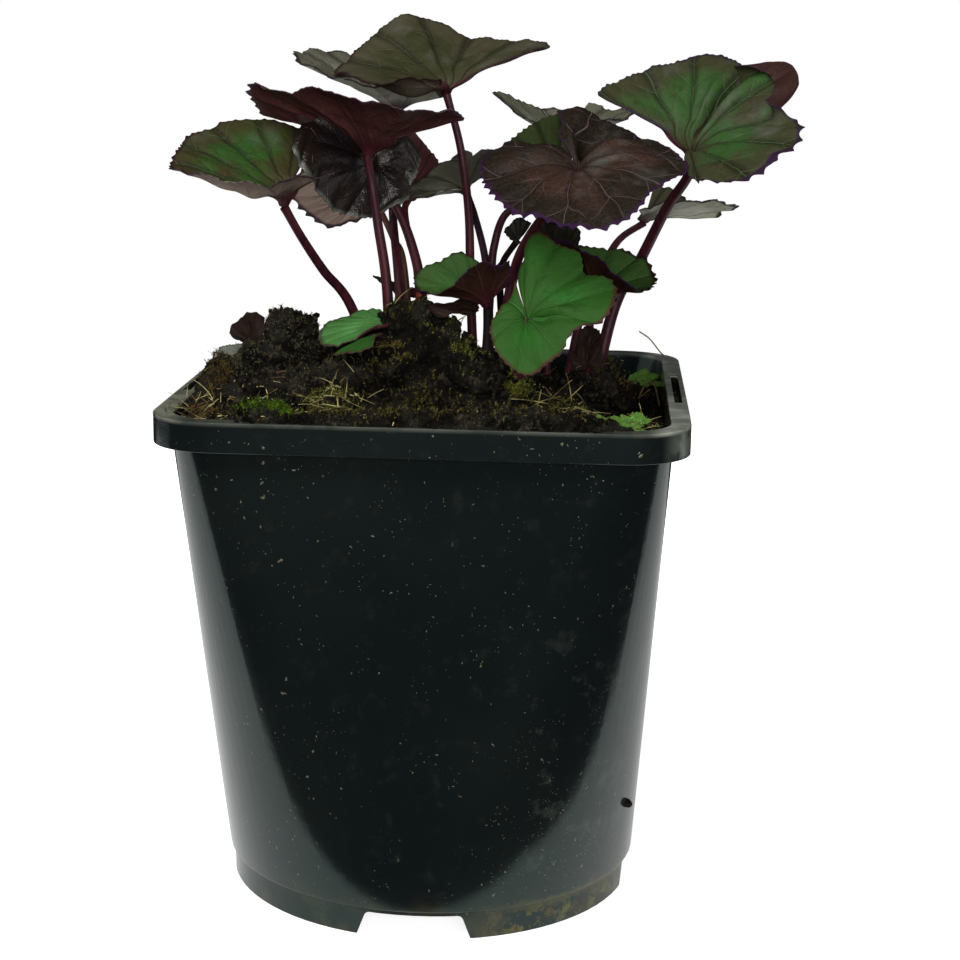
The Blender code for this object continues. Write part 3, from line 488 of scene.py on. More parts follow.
def bladeSurface(leaf, ripple, teeth, curls, dents, seed, throat, leafJoin):
    f = bladeForm
    apex, rise, rim = leaf
    apex = np.array(apex, float)
    path = smoothPath(rim, 16)
    total = pathLengths(path)[-1]
    around = max(40, int(total / f["aroundStep"]))
    rim = evenly(path, around)
    along = np.linspace(0, total, around + 1)
    turn = along / total
    for place, width, start, degrees, further in curls:
        off = np.abs(turn - place) / width
        rim = apex + (rim - apex) * (1 + further * np.exp(-(off / 0.6) ** 4)
                                     - 0.13 * np.exp(-((off - 1.05) / 0.3) ** 2))[:, None]
    reach = np.linalg.norm(rim - apex, axis=1)
    outward = max(8, int(reach.mean() / f["outStep"]))
    up = np.cross(rim[:-1] - apex, rim[1:] - apex).sum(axis=0)
    up /= np.linalg.norm(up)
    # the blade starts as wide as its stalk and flares from there
    first = throat / reach
    flare = (np.arange(outward + 1) / outward)[:, None] ** 1.15
    v = first + (1 - first) * flare
    lift = rise * 4 * (np.sqrt(flare) - flare)
    spokes = closeSinus((rim - apex) * v[:, :, None], up, v, leafJoin)
    rows = apex + spokes + up * lift[:, :, None]
    normals = gridNormals(rows)

    # it swells between its veins, and its rim waves
    phase = f["veins"] * turn
    across = np.abs(phase % 1 - 0.5)
    panel = total * v / f["veins"]
    swell = (1 - (1 - 2 * across) ** 2) * np.minimum(f["quilt"], panel * 0.06)
    chevron = (0.8 * reach * v / 10 - 1.6 * across) % 1
    hold = ease(0, f["still"], turn) * ease(0, f["still"], 1 - turn)
    ribs = (1 - (2 * chevron - 1) ** 4) * f["ribs"] * ease(0.1, 0.45, v) * ease(0, 0.2, across) * hold
    swell = swell + ribs
    swell = swell + (lumps(rows.reshape(-1, 3), f["lumpSize"], seed) * f["lumps"]).reshape(v.shape)
    for place, far, width, length, height in dents:
        swell = swell + hold * height * np.exp(-((turn - place) / width) ** 2 - ((v - far) / length) ** 2)
    waves = ripple * wave(along, f["shortWave"], seed) * ease(0.5, 1, v)
    long = wave(along, f["longWave"], seed + 50) * ease(0.2, 0.9, v)
    waves = waves + ripple * 2 * long * min(1, reach.mean() / 35)
    rows = rows + normals * (swell * ease(0.0, 0.15, flare) + waves * hold)[:, :, None]

    for place, width, start, degrees, further in curls:
        bend = np.radians(degrees) * np.exp(-((turn - place) / width) ** 4)
        fold = int(np.argmax(flare[:, 0] >= start))
        base = rows[fold]
        spot = base.copy()
        for k in range(fold + 1, outward + 1):
            # each ring turns a little more than the last, until the flap lies flat
            angle = (bend * min(1, 2.2 * (k - fold) / (outward - fold)))[:, None]
            size = np.linalg.norm(rows[k] - base, axis=1)[:, None]
            ahead = (rows[k] - base) / size
            step = size / (k - fold)
            spot = spot + (ahead * np.cos(angle) + normals[fold] * np.sin(angle)) * step
            rows[k] = spot

    tips = toothHeights(along, teeth, seed) * hold ** 0.5
    for place, width, start, degrees, further in curls:
        tips = tips * (1 - 0.8 * np.exp(-((turn - place) / (width * 1.4)) ** 8))
    edge = unit(rows[-1] - rows[-2])
    rows = np.concatenate([rows, rows[-1:] + edge * (0.15 + tips * 0.5)[:, None],
                           rows[-1:] + edge * (0.3 + tips)[:, None]])
    normals = gridNormals(rows, 2)
    beside = np.minimum(turn, 1 - turn) * total * v
    fromRim = np.vstack([np.minimum(reach * (1 - v), beside), -tips * 0.5, -tips]) / 10
    fromApex = np.vstack([reach * v, reach + tips * 0.5, reach + tips]) / 10
    phases = np.broadcast_to(phase, fromRim.shape)
    alongs = np.broadcast_to(along / 10, fromRim.shape)
    return apex, up, rows, normals, np.dstack([phases, fromApex]), np.dstack([alongs, fromRim])


def bladeShape(leaf, look, seed, throat=0.3, crumple=0.0, leafJoin=0.3):
    # the blade as a thin closed solid: its faces, what side each face is on, and its two maps
    apex, up, rows, normals, veinMap, rimMap = bladeSurface(leaf, *look, seed, throat, leafJoin)
    count, width = rows.shape[:2]
    if crumple:
        flat = rows.reshape(-1, 3)
        shove = np.column_stack([lumps(flat, 7, seed + k) + 0.5 * lumps(flat, 3, seed + k)
                                 for k in (1, 2, 3)])
        rows = rows + (shove * crumple).reshape(rows.shape) * ease(0, 3, np.arange(count))[:, None, None]
    thick = np.full(count, bladeForm["thick"] / 2)
    thick[-4:] = np.linspace(bladeForm["thick"], bladeForm["rimThick"], 4) / 2
    verts = []
    for sign in (1, -1):
        verts.append((apex + sign * up * thick[0])[None])
        verts.append((rows + sign * normals * thick[:, None, None]).reshape(-1, 3))
    # the upper side, the underside, and the edge that joins them
    size = 1 + count * width
    upper = [(0, 1 + k, 2 + k) for k in range(width - 1)]
    upper += [(1 + a, 1 + d, 1 + c, 1 + b) for a, b, c, d in gridFaces(count, width, False)]
    under = [tuple(size + i for i in face[::-1]) for face in upper]
    last = 1 + (count - 1) * width
    edge = [(last + k, size + last + k, size + last + k + 1, last + k + 1) for k in range(width - 1)]
    for end, step in ((0, 1), (width - 1, -1)):
        line = [0] + [1 + row * width + end for row in range(count)]
        edge += [(a, size + a, size + b, b)[::step] for a, b in zip(line, line[1:])]
    faces = upper + under + edge
    slots = [0] * len(upper) + [1] * (len(under) + len(edge))
    maps = {}
    for mapName, values in (("veins", veinMap), ("rim", rimMap)):
        flat = values.reshape(-1, 2)
        middle = np.array([[flat[0, 0], 0.0]]) if mapName == "veins" else flat[:1]
        maps[mapName] = np.vstack([middle, flat, middle, flat])
    return (np.vstack(verts), faces), slots, maps


def makeLeaves():
    uppers = {name: leafMaterial("upper_" + name, look, True) for name, look in leafUppers.items()}
    unders = {name: leafMaterial("under_" + name, look, False) for name, look in leafUnders.items()}
    for seed, (name, leaf) in enumerate(leaves.items()):
        upper, under, *look = leafLooks[name]
        leafJoin = sinusJoined.get(name, bladeForm["join"])
        shape, slots, maps = bladeShape(leaf, look, seed + 1, stalks[name][1] * 1.1, 0.0, leafJoin)
        node = "leaf_" + name
        skins = [uppers[upper], unders[under]]
        makePiece("blade_" + name, shape, skins, [node], slots, maps, creaseOfBlades)
    print("leaves made:", len(leaves))


# stalks

stalks = {
    "top": (1.7, 1.2, [(13, 3, 187), (11, 2, 206), (10, 1, 232), (7, 0, 254), (2, 0, 272)]),
    "top_back": (1.7, 1.2, [(-12, 2, 194), (-14, 6, 205), (-18, 22, 229), (-20, 36, 246), (-19, 36, 263)]),
    "raised_red": (1.9, 1.3, [
        (-15, -8, 193), (-17, -8, 210), (-20, -8, 229), (-22, -8, 242), (-24, -5, 251)]),
    "left_green": (1.8, 1.3, [
        (-19, -4, 189), (-29, -8, 201), (-37, -18, 214), (-43, -28, 226), (-48, -32, 236)]),
    "glossy_dark": (1.9, 1.3, [
        (-3, 1, 194), (-6, 3, 205), (-10, 7, 221), (-16, 10, 234), (-24, 9, 245), (-25, 6, 247)]),
    "left_under": (1.3, 1.0, [
        (-8, 8, 197), (-13, 14, 211), (-18, 24, 221), (-25, 40, 231), (-28, 46, 237)]),
    "brown_red": (1.5, 1.1, [(-5, 10, 194), (-8, 12, 208), (-12, 20, 221), (-15, 34, 230), (-14, 38, 234)]),
    "edge_on": (1.5, 1.1, [(18, 8, 186), (17, 8, 202), (15, 12, 217), (11, 18, 230), (8, 22, 237)]),
    "centre_purple": (2.0, 1.4, [
        (23, -2, 186), (24, -3, 200), (26, -4, 213), (29, -8, 222), (35, -12, 232), (47, -20, 248)]),
    "behind_centre": (1.6, 1.1, [
        (15, 18, 183), (17, 16, 205), (18, 18, 220), (22, 21, 231), (32, 23, 234), (40, 25, 243)]),
    "right_big": (2.2, 1.5, [
        (52, 14, 182), (60, 20, 198), (69, 22, 216), (77, 8, 235), (83, -3, 246), (84, -6, 253)]),
    "right_thin": (1.6, 1.1, [(43, 14, 184), (50, 24, 203), (57, 28, 215), (62, 33, 222), (70, 38, 227)]),
    "back": (1.6, 1.1, [(31, 14, 186), (34, 26, 211), (36, 42, 234), (39, 52, 251)]),
    "low_centre": (1.9, 1.4, [(17, -15, 181), (18, -15, 190), (18, -15, 202)]),
    "bright_green": (1.8, 1.2, [(28, -12, 176), (30, -16, 185), (32, -26, 194), (32, -33, 201)]),
    "low_right": (1.7, 1.2, [(51, 3, 179), (52, 3, 188), (52, 2, 197), (53, 0, 204)]),
    "small_dark": (1.4, 1.0, [(24, 18, 185), (20, 20, 206), (21, 19, 214), (26, 15, 222)]),
    "small_grey": (1.3, 1.0, [(37, 16, 186), (38, 20, 201), (39, 23, 214)]),
    "soil_upper": (1.2, 1.0, [(-12, -14, 190), (-14, -16, 193), (-16, -18, 196)]),
    "soil_lower": (1.1, 0.9, [(-13, -28, 189), (-14, -31, 192), (-17, -34, 195)]),
}

mounds = [
    (-62, -10, 24, 26, 46),    # bank along the left side
    (-47, -14, 6, 14, 14),
    (-24, -26, 15, 16, 14),
    (-5, -14, 37, 17, 14),     # crown of the plant
    (30, -6, 16, 20, 20),
    (-10, -80, 10, 66, 16),    # bank along the front
    (45, -80, 8, 30, 12),
]
soilLevel = 164.0
wallLevel = 174.0
wallSlope = 0.9
bodyHalf = 80.0
wall = 1.4
stalkForm = {"sides": 14, "deep": 6.0, "swell": 1.5, "swellReach": 5, "neck": 1.2, "neckReach": 3}
stalkTints = {      # body, streaks, pale specks, roughness
    "purple": ((60, 10, 15), (32, 6, 14), (110, 30, 30), 0.42),
    "red": ((120, 22, 12), (60, 12, 10), (220, 90, 50), 0.35),
    "tan": ((130, 60, 35), (80, 30, 20), (300, 200, 130), 0.4),
    "blue": ((18, 9, 22), (30, 8, 14), (100, 60, 80), 0.35),
    "black": ((6, 3, 3), (16, 4, 5), (35, 14, 12), 0.6),
}
stalkLooks = {"low_centre": "black", "small_dark": "black", "soil_upper": "black", "soil_lower": "black",
              "brown_red": "red", "left_under": "tan", "edge_on": "blue", "back": "red"}


def soilHeight(x, y):
    z = soilLevel
    for cx, cy, rise, spreadX, spreadY in mounds:
        z = z + rise * np.exp(-((x - cx) / spreadX) ** 2 - ((y - cy) / spreadY) ** 2)
    fromWall = bodyHalf - wall - np.maximum(np.abs(x), np.abs(y))
    return np.minimum(z, wallLevel + wallSlope * fromWall)


def stalkMaterial(name, body, streak, pale, roughness):
    material, tree, shader = newMaterial(name, roughness, 0.2)
    streaks = grain(tree, 500, 3, (1, 1, 0.06))
    colour = mix(tree, between(tree, streaks, 0.4, 0.62), body, streak)
    colour = mix(tree, between(tree, grain(tree, 1200, 2, (1, 1, 0.4)), 0.62, 0.78, 0, 0.35), colour, pale)
    finish(tree, shader, colour, plus(tree, streaks, times(tree, grain(tree, 1500), 0.4)), 0.25, 0.5)
    return material


def makeStalks():
    f = stalkForm
    skins = {look: stalkMaterial("stalk_" + look, *tints) for look, tints in stalkTints.items()}
    for name, (low, high, points) in stalks.items():
        foot = np.array(points[0], float)
        foot[2] = soilHeight(foot[0], foot[1]) - f["deep"]
        path = smoothPath([foot] + points[1:], 12)
        share = np.linspace(0, 1, len(path))
        fromTop = pathLengths(path)[-1] - pathLengths(path)
        fromFoot = pathLengths(path) - f["deep"]
        radii = low + (high - low) * share
        radii = radii * (1 + (f["swell"] - 1) * np.exp(-np.clip(fromFoot, 0, None) / f["swellReach"]))
        radii = radii * (1 + (f["neck"] - 1) * np.exp(-fromTop / f["neckReach"]))
        shape = tube(path, radii, f["sides"])
        makePiece("stem_" + name, shape, [skins[stalkLooks.get(name, "purple")]], ["stalk_" + name])
    # a stalk cut off short, on the crown
    stub = tube([(-6, -13, 196), (-5.5, -13, 202), (-5, -13, 206.5)], [1.7, 1.5, 1.4], f["sides"])
    makePiece("stalk_stub", stub, [skins["red"]])
    print("stalks made:", len(stalks))


# pot

potForm = {
    "rimHalf": 85.0, "rimCorner": 21.5, "rimDrop": 9.5, "bodyCorner": 17.0, "bodyFootRadius": 72.0,
    "footRadius": 70.6, "footHeight": 9.5, "floorUnder": 9.0, "floorTop": 10.6, "round": 0.5,
    "notchTop": 8.2, "notchHalfLow": 18.9, "notchHalfHigh": 15.9, "notchRound": 1.2,
    "slotInner": 80.8, "slotOuter": 83.4, "slotHalf": 27.0, "slotDepth": 6,
    "drainRadius": 5.0, "drainRing": 48.0, "drainCount": 8, "cornerSteps": 20, "crease": 35,
}


def squareRing(half, corner, z):
    steps = potForm["cornerSteps"]
    ring = []
    for quarter in range(4):
        cx, cy = [(1, 1), (-1, 1), (-1, -1), (1, -1)][quarter]
        for k in range(steps + 1):
            angle = radians(90 * quarter + 90 * k / steps)
            ring.append((cx * (half - corner) + corner * cos(angle),
                         cy * (half - corner) + corner * sin(angle), z))
    return ring


def placeRing(bm, ring):
    # the selected loop goes to the ring's points, in order round the axis
    loop = [v for v in bm.verts if v.select]
    loop.sort(key=lambda v: atan2(v.co.y, v.co.x - potAxisX * mm))
    ring = sorted(ring, key=lambda p: atan2(p[1], p[0]))
    for vert, point in zip(loop, ring):
        vert.co = (Vector(point) + Vector((potAxisX, 0, 0))) * mm


def bodyOutline(z, inset=0.0):
    low = potForm["footHeight"] + 0.5
    foot = potForm["bodyFootRadius"]
    share = (z - low) / (potHeight - wall - low)
    half = foot + (bodyHalf - foot) * share
    corner = foot - 0.2 + (potForm["bodyCorner"] - foot + 0.2) * share
    return half - inset, corner - inset


def roundedProfile(rows, radius):
    # each corner of the profile becomes three points, so that edges are soft
    out = []
    for k, row in enumerate(rows):
        row = np.array(row, float)
        before = np.array(rows[k - 1], float) if k else row
        after = np.array(rows[k + 1], float) if k < len(rows) - 1 else row
        for other, far in ((before, 1.0), (before, 0.35), (after, 0.35), (after, 1.0)):
            step = other - row
            length = hypot(step[0], step[2])
            if length < 0.01:
                continue
            out.append(row + step * min(radius * far / length, 0.45))
        if k in (0, len(rows) - 1):
            out.append(row)
    return out


def deselect():
    bpy.ops.object.select_all(action="DESELECT")


def takeUp(piece):
    # makes the piece the only one that is selected
    deselect()
    piece.select_set(True)
    bpy.context.view_layer.objects.active = piece


def cut(piece, cutter):
    removal = piece.modifiers.new("cut", "BOOLEAN")
    removal.operation = "DIFFERENCE"
    removal.object = cutter
    takeUp(piece)
    bpy.ops.object.modifier_apply(modifier="cut")
    bpy.data.objects.remove(cutter)


def settle():
    # the new object, with its place and size taken into its mesh
    bpy.ops.object.transform_apply(location=True, rotation=True, scale=True)
    return bpy.context.object


def boxAt(centre, size):
    deselect()
    bpy.ops.mesh.primitive_cube_add(size=mm, location=Vector(centre) * mm, scale=size)
    return settle()


def cutPot(pot):
    f = potForm
    for side in (-1, 1):
        middle = (f["slotInner"] + f["slotOuter"]) / 2
        wide = f["slotOuter"] - f["slotInner"]
        cut(pot, boxAt((potAxisX + side * middle, 0, potHeight), (wide, 2 * f["slotHalf"], f["slotDepth"])))
    for quarter in range(4):
        # a notch in the foot ring: wider at the ground, with round upper corners
        far = f["footRadius"] - 4
        block = boxAt((0, -far, 0), (2, 18, 2 * f["notchTop"]))
        for vert in block.data.vertices:
            low = vert.co.z < 0
            reach = 2 * f["notchHalfLow"] - f["notchHalfHigh"] if low else f["notchHalfHigh"]
            vert.co.x = copysign(reach * mm, vert.co.x)
        takeUp(block)
        bpy.ops.object.mode_set(mode="EDIT")
        bm = bmesh.from_edit_mesh(block.data)
        for edge in bm.edges:
            edge.select_set(all(v.co.z > 0 for v in edge.verts)
                            and abs(edge.verts[0].co.x - edge.verts[1].co.x) < mm)
        bm.select_flush_mode()
        bpy.ops.mesh.bevel(offset=f["notchRound"] * mm, segments=3)
        bpy.ops.object.mode_set(mode="OBJECT")
        turn = Matrix.Translation((potAxisX * mm, 0, 0)) @ Matrix.Rotation(radians(90 * quarter), 4, "Z")
        block.data.transform(turn)
        cut(pot, block)
    for hole in range(f["drainCount"]):
        turn = 2 * pi * (hole + 0.5) / f["drainCount"]
        deselect()
        bpy.ops.mesh.primitive_cylinder_add(
            vertices=24, radius=f["drainRadius"] * mm, depth=8 * mm,
            location=((potAxisX + f["drainRing"] * cos(turn)) * mm,
                      f["drainRing"] * sin(turn) * mm, f["floorTop"] * mm))
        cut(pot, bpy.context.object)


def raggedPlace(tree, scale, size):
    # the place moved by a small random shift, so that what is drawn there has ragged edges
    shift = addNode(tree, "TexNoise", {"Vector": coords(tree), "Scale": scale, "Detail": 2.0}, output=1)
    shift = addNode(tree, "VectorMath", {0: shift, "Scale": size}, operation="SCALE")
    return addNode(tree, "VectorMath", {0: coords(tree), 1: shift}, operation="ADD")


def potMaterial():
    material, tree, shader = newMaterial("pot_plastic", 0.15, 0.45)
    shader.inputs["Specular Tint"].default_value = (0.74, 1.0, 0.92, 1.0)
    across, height = coords(tree, 0), coords(tree, 2)
    colour = mix(tree, blotches(tree, 12, 4, 0.4, 0.65), (4.5, 6.5, 7), (7, 10, 9.5))
    dust = blotches(tree, 150, 5, 0.55, 0.8, 0, 0.3)
    colour = mix(tree, dust, colour, (30, 34, 28))
    speck = 0.0
    # most specks lie low on the right
    more = times(tree, between(tree, across, 0.0, 0.03, 0, 0.24), between(tree, height, 0.075, 0.03))
    for scale, size, clear in ((150.0, 0.09, 0.46), (330.0, 0.13, 0.48), (620.0, 0.16, 0.52)):
        cells = addNode(tree, "TexVoronoi", {"Vector": raggedPlace(tree, 300, 0.004), "Scale": scale})
        dots = times(tree, between(tree, cells, size * 0.5, size, 1, 0),
                     between(tree, plus(tree, grain(tree, scale / 6, 2), more), clear, clear + 0.16))
        speck = sums(tree, "MAXIMUM", speck, dots)
    colour = mix(tree, times(tree, speck, 0.75), colour, (200, 170, 110))
    low = times(tree, between(tree, height, 0.02, 0.0, 0, 1), blotches(tree, 60, 4, 0.45, 0.7))
    colour = mix(tree, low, colour, (35, 28, 14))
    # dirt gathers on the step over the foot, most at one side
    step = minus(tree, height, times(tree, grain(tree, 200, 4), 0.006))
    step = between(tree, sums(tree, "ABSOLUTE", minus(tree, step, 0.0065)), 0.0008, 0.003, 1, 0)
    step = times(tree, step, between(tree, across, 0.0, 0.03, 0.12, 0.9))
    colour = mix(tree, step, colour, (50, 42, 18))
    moss = times(tree, between(tree, height, 0.011, 0.004, 0, 1), between(tree, across, 0.0, 0.02))
    moss = times(tree, moss, between(tree, grain(tree, 170, 6, roughness=0.75), 0.48, 0.56, 0, 0.85))
    mossy = mix(tree, blotches(tree, 260, 4, 0.45, 0.6), (90, 90, 18), (70, 32, 10))
    colour = mix(tree, moss, colour, mossy)
    # pale stains low on the right
    stains = times(tree, between(tree, grain(tree, 75, 7, roughness=0.72), 0.53, 0.62, 0, 0.45),
                   times(tree, between(tree, across, 0.005, 0.03), between(tree, height, 0.12, 0.08)))
    colour = mix(tree, stains, colour, (50, 58, 50))
    # the top of the rim is pale with dust and scuffs and with a painted reflection of bright light, most at
    # the right
    high = times(tree, between(tree, height, 0.1725, 0.1738, 0, 1),
                 blotches(tree, 80, 5, 0.35, 0.6, 0.5, 1))
    dustAndPaintedReflection = mix(tree, between(tree, across, -0.04, 0.05), (260, 270, 200), (420, 440, 370))
    fromAxis = sums(tree, "ABSOLUTE", minus(tree, across, potAxisX * mm))
    dustAndPaintedReflection = mix(tree, between(tree, fromAxis, 0.07, 0.079), (80, 86, 72), dustAndPaintedReflection)
    colour = mix(tree, high, colour, dustAndPaintedReflection)
    # painted reflection: the right end of the rim's band is painted pale, as if it mirrored a bright side
    corner = times(tree, between(tree, height, 0.163, 0.166), between(tree, across, 0.058, 0.066))
    corner = times(tree, corner, blotches(tree, 110, 5, 0.38, 0.6, 0.1, 0.8))
    colour = mix(tree, corner, colour, (170, 190, 155))
    scuffs = plus(tree, grain(tree, 260, 4), times(tree, speck, 1.5))
    finish(tree, shader, colour, scuffs, 0.12, 0.35)
    return material


def makePot():
    f = potForm
    under = potHeight - wall
    band = potHeight - f["rimDrop"]
    half, corner = f["rimHalf"], f["rimCorner"]
    foot = f["footRadius"] - 0.2
    inFoot = foot - wall
    profile = [(inFoot + 0.2, inFoot, f["floorUnder"]), (inFoot + 0.2, inFoot, 0), (foot + 0.2, foot, 0),
               (foot + 0.2, foot, f["footHeight"]),
               (*bodyOutline(f["footHeight"] + 0.5), f["footHeight"] + 0.5), (*bodyOutline(under), under),
               (half - wall, corner - wall, under), (half - wall, corner - wall, band), (half, corner, band),
               (half, corner, potHeight), (*bodyOutline(potHeight, wall), potHeight),
               (*bodyOutline(f["floorTop"], wall), f["floorTop"])]
    rings = [squareRing(*row) for row in roundedProfile(profile, f["round"])]
    deselect()
    bpy.ops.mesh.primitive_circle_add(vertices=len(rings[0]), radius=inFoot * mm, fill_type="NGON",
                                      location=(potAxisX * mm, 0, f["floorUnder"] * mm))
    pot = settle()
    pot.name = "pot_shell"
    bpy.ops.object.mode_set(mode="EDIT")
    bpy.ops.mesh.select_mode(type="EDGE")
    placeRing(bmesh.from_edit_mesh(pot.data), rings[0])
    for ring in rings[1:]:
        bpy.ops.mesh.select_non_manifold()
        bpy.ops.mesh.extrude_edges_move()
        placeRing(bmesh.from_edit_mesh(pot.data), ring)
    bpy.ops.mesh.edge_face_add()
    bpy.ops.mesh.select_all(action="SELECT")
    bpy.ops.mesh.normals_make_consistent(inside=False)
    bpy.ops.object.mode_set(mode="OBJECT")
    cutPot(pot)
    pot.data.materials.clear()
    pot.data.materials.append(potMaterial())
    pot.data.shade_smooth()
    pot.data.set_sharp_from_angle(angle=radians(f["crease"]))
    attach(pot, "root")
    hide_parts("pot")
    print("pot made:", len(pot.data.polygons), "faces")


# soil, moss and what lies on it

mats = {            # middle, half length and width, degrees, height, roughness, how square
    "moss_front": (12, -72, 56, 12, 0, 4, 1.0, 4),
    "moss_front_left": (-49, -72, 11, 10, 0, 5, 1.0, 2),
    "moss_straw_left": (-30, -44, 10, 8, 0, 6, 1.2, 2),
    "moss_straw_right": (47, -28, 10, 12, 0, 5, 1.2, 2),
    "moss_centre": (12, -34, 8, 6, 30, 4, 1.2, 2),
    "clod_left": (-48, -14, 10, 9, 0, 12, 1.6, 2),
    "clod_edge": (-71, -34, 6, 6, 0, 6, 1.2, 2),
}
scraps = {          # withered leaves, in the same way
    "left": ((-61, -16, 188), 0.2, [
        (-57, -17, 190), (-57, -18, 194), (-58, -18, 197), (-62, -17, 198), (-66, -16, 196),
        (-68, -16, 193), (-65, -16, 189)]),
    "right": ((51, 0, 180), 1, [
        (56, -2, 182), (56, -3, 189), (56, -1, 192), (52, 1, 194), (48, 0, 191), (46, -2, 187),
        (46, -2, 181)]),
    "centre": ((-5, -15, 202), 0.5, [
        (1, -22, 200), (5, -22, 200), (8, -21, 201), (13, -18, 201), (14, -12, 202), (11, -6, 203),
        (6, -6, 202), (2, -7, 201), (-3, -9, 202)]),
    "grey": ((-66, -20, 186), 0.5, [
        (-62, -18, 188), (-66, -15, 188), (-70, -15, 187), (-73, -18, 185), (-69, -22, 184),
        (-64, -24, 185)]),
    "yellow": ((57, 46, 169), 0.5, [
        (60, 44, 170), (59, 44, 174), (56, 46, 177), (53, 48, 178), (52, 47, 174), (55, 45, 171)]),
    "sprout": ((-9, 14, 203), 0.3, [
        (-13, 18, 200), (-19, 20, 204), (-25, 22, 208), (-19, 21, 207), (-13, 19, 204)]),
}
grasses = {         # radius, points
    "arch": (0.325, [(70, 30, 165), (72, 28, 170), (75, 22, 172), (77, 12, 166)]),
    "hair": (0.26, [(70, 60, 185), (74, 62, 182), (78, 64, 177), (80, 66, 175)]),
}
soilForm = {"cells": 230, "crumbs": 5600, "rimCrumbs": 1500, "clod": 6.5, "clodRise": 1.7, "crumb": 2.6,
            "crumbRise": 0.9, "swell": 13, "swellRise": 1.4, "grit": 0.9, "gritRise": 0.35}
flangeInner, flangeOuter = 78.6, 84.6
clods = [           # middle and half sizes of the lumps of peat, in mm, one of them stuck to the pot's side
    ((-50, -14, 193), (5, 5, 6.5)), ((-43, -14, 193.5), (4.5, 5, 6)), ((-53, -13, 189), (5.5, 5, 5)),
    ((-38, -15, 186), (5, 5, 5.5)), ((-46, -15, 188), (7, 6, 6)),
    ((-60, -22, 183), (7, 6, 5)), ((-30, -24, 182), (7, 6, 6)), ((-51, -24, 183), (6, 5, 5)),
    ((-10, -16, 196), (8, 7, 7)), ((-5, -14, 200), (5, 5, 5)), ((3, -15, 192), (6, 6, 8)),
    ((-4, -20, 186), (8, 6, 6)), ((-16, -20, 186), (7, 6, 7)), ((8, -19, 183), (6, 5, 6)),
    ((17, -12, 181), (7, 6, 6)), ((29, -12, 176), (7, 6, 5)), ((38, -9, 173), (6, 6, 6)),
    ((48, -8, 173), (8, 6, 8)), ((57, -4, 173), (7, 6, 8)), ((63, 4, 169), (6, 6, 7)),
    ((59, 6, 176), (5, 4, 6)), ((11, -15, 187), (3, 3, 7)), ((-66, -30, 178), (5, 5, 5)),
    ((-24, -9, 187), (9, 6, 7)), ((-33, -10, 183), (7, 6, 6)), ((56, 50, 165), (10, 8, 6)),
    ((66, 38, 164), (8, 9, 5)), ((44, 60, 165), (9, 8, 6)), ((82, 11, 171), (2.2, 31, 2.8)),
    ((-13, -30, 184), (5.5, 5.5, 8)), ((-17, -12, 189.5), (6, 4, 6.5)),
    ((69.6, -33.2, 36), (1.7, 1.6, 1.6)), ((18, -20, 180), (6, 5, 7.5)), ((12, -22, 178), (6, 5, 6)),
    ((58, -60, 166.5), (13, 11, 4.5)), ((70, -48, 166), (7, 18, 4.5)), ((47, -67, 167), (10, 8, 4)),
]


def clumps(point):
    # how far a crumbly surface stands out at a point: clods, the crumbs on them, and gaps between
    f = soilForm
    big = noise.voronoi(point / f["clod"])[0]
    small = noise.voronoi(point / f["crumb"])[0]
    clod = min(1.0, 2.0 * (big[1] - big[0])) - 0.6
    crumb = min(1.0, 2.4 * (small[1] - small[0])) - 0.6
    swell = f["swellRise"] * noise.noise(point / f["swell"])
    grit = f["gritRise"] * noise.noise(point / f["grit"])
    return f["clodRise"] * clod + f["crumbRise"] * crumb + swell + grit


def soilPoint(x, y):
    step = 0.5
    z = float(soilHeight(x, y))
    slopeX = (float(soilHeight(x + step, y)) - z) / step
    slopeY = (float(soilHeight(x, y + step)) - z) / step
    normal = Vector((-slopeX, -slopeY, 1)).normalized()
    point = Vector((x, y, z))
    rough = 0.5 + 0.7 * float(ease(168, 184, z))
    return point + normal * clumps(point) * rough * float(ease(0, 3, flangeInner - max(abs(x), abs(y))))


def soilMaterial():
    material, tree, shader = newMaterial("compost", 0.9, 0.06)
    colour = mix(tree, blotches(tree, 110, 5, 0.4, 0.6), (2.6, 2.5, 2.1), (17, 15.5, 12))
    colour = mix(tree, blotches(tree, 420, 4, 0.52, 0.68, 0, 0.75), colour, (55, 47, 30))
    colour = mix(tree, blotches(tree, 1500, 2, 0.64, 0.72, 0, 0.5), colour, (200, 170, 120))
    colour = mix(tree, blotches(tree, 50, 3, 0.5, 0.62, 0, 0.75), colour, (3, 2.6, 2.2))
    finish(tree, shader, colour, grain(tree, 900, 6, roughness=0.7), 0.8, 1.0)
    return material


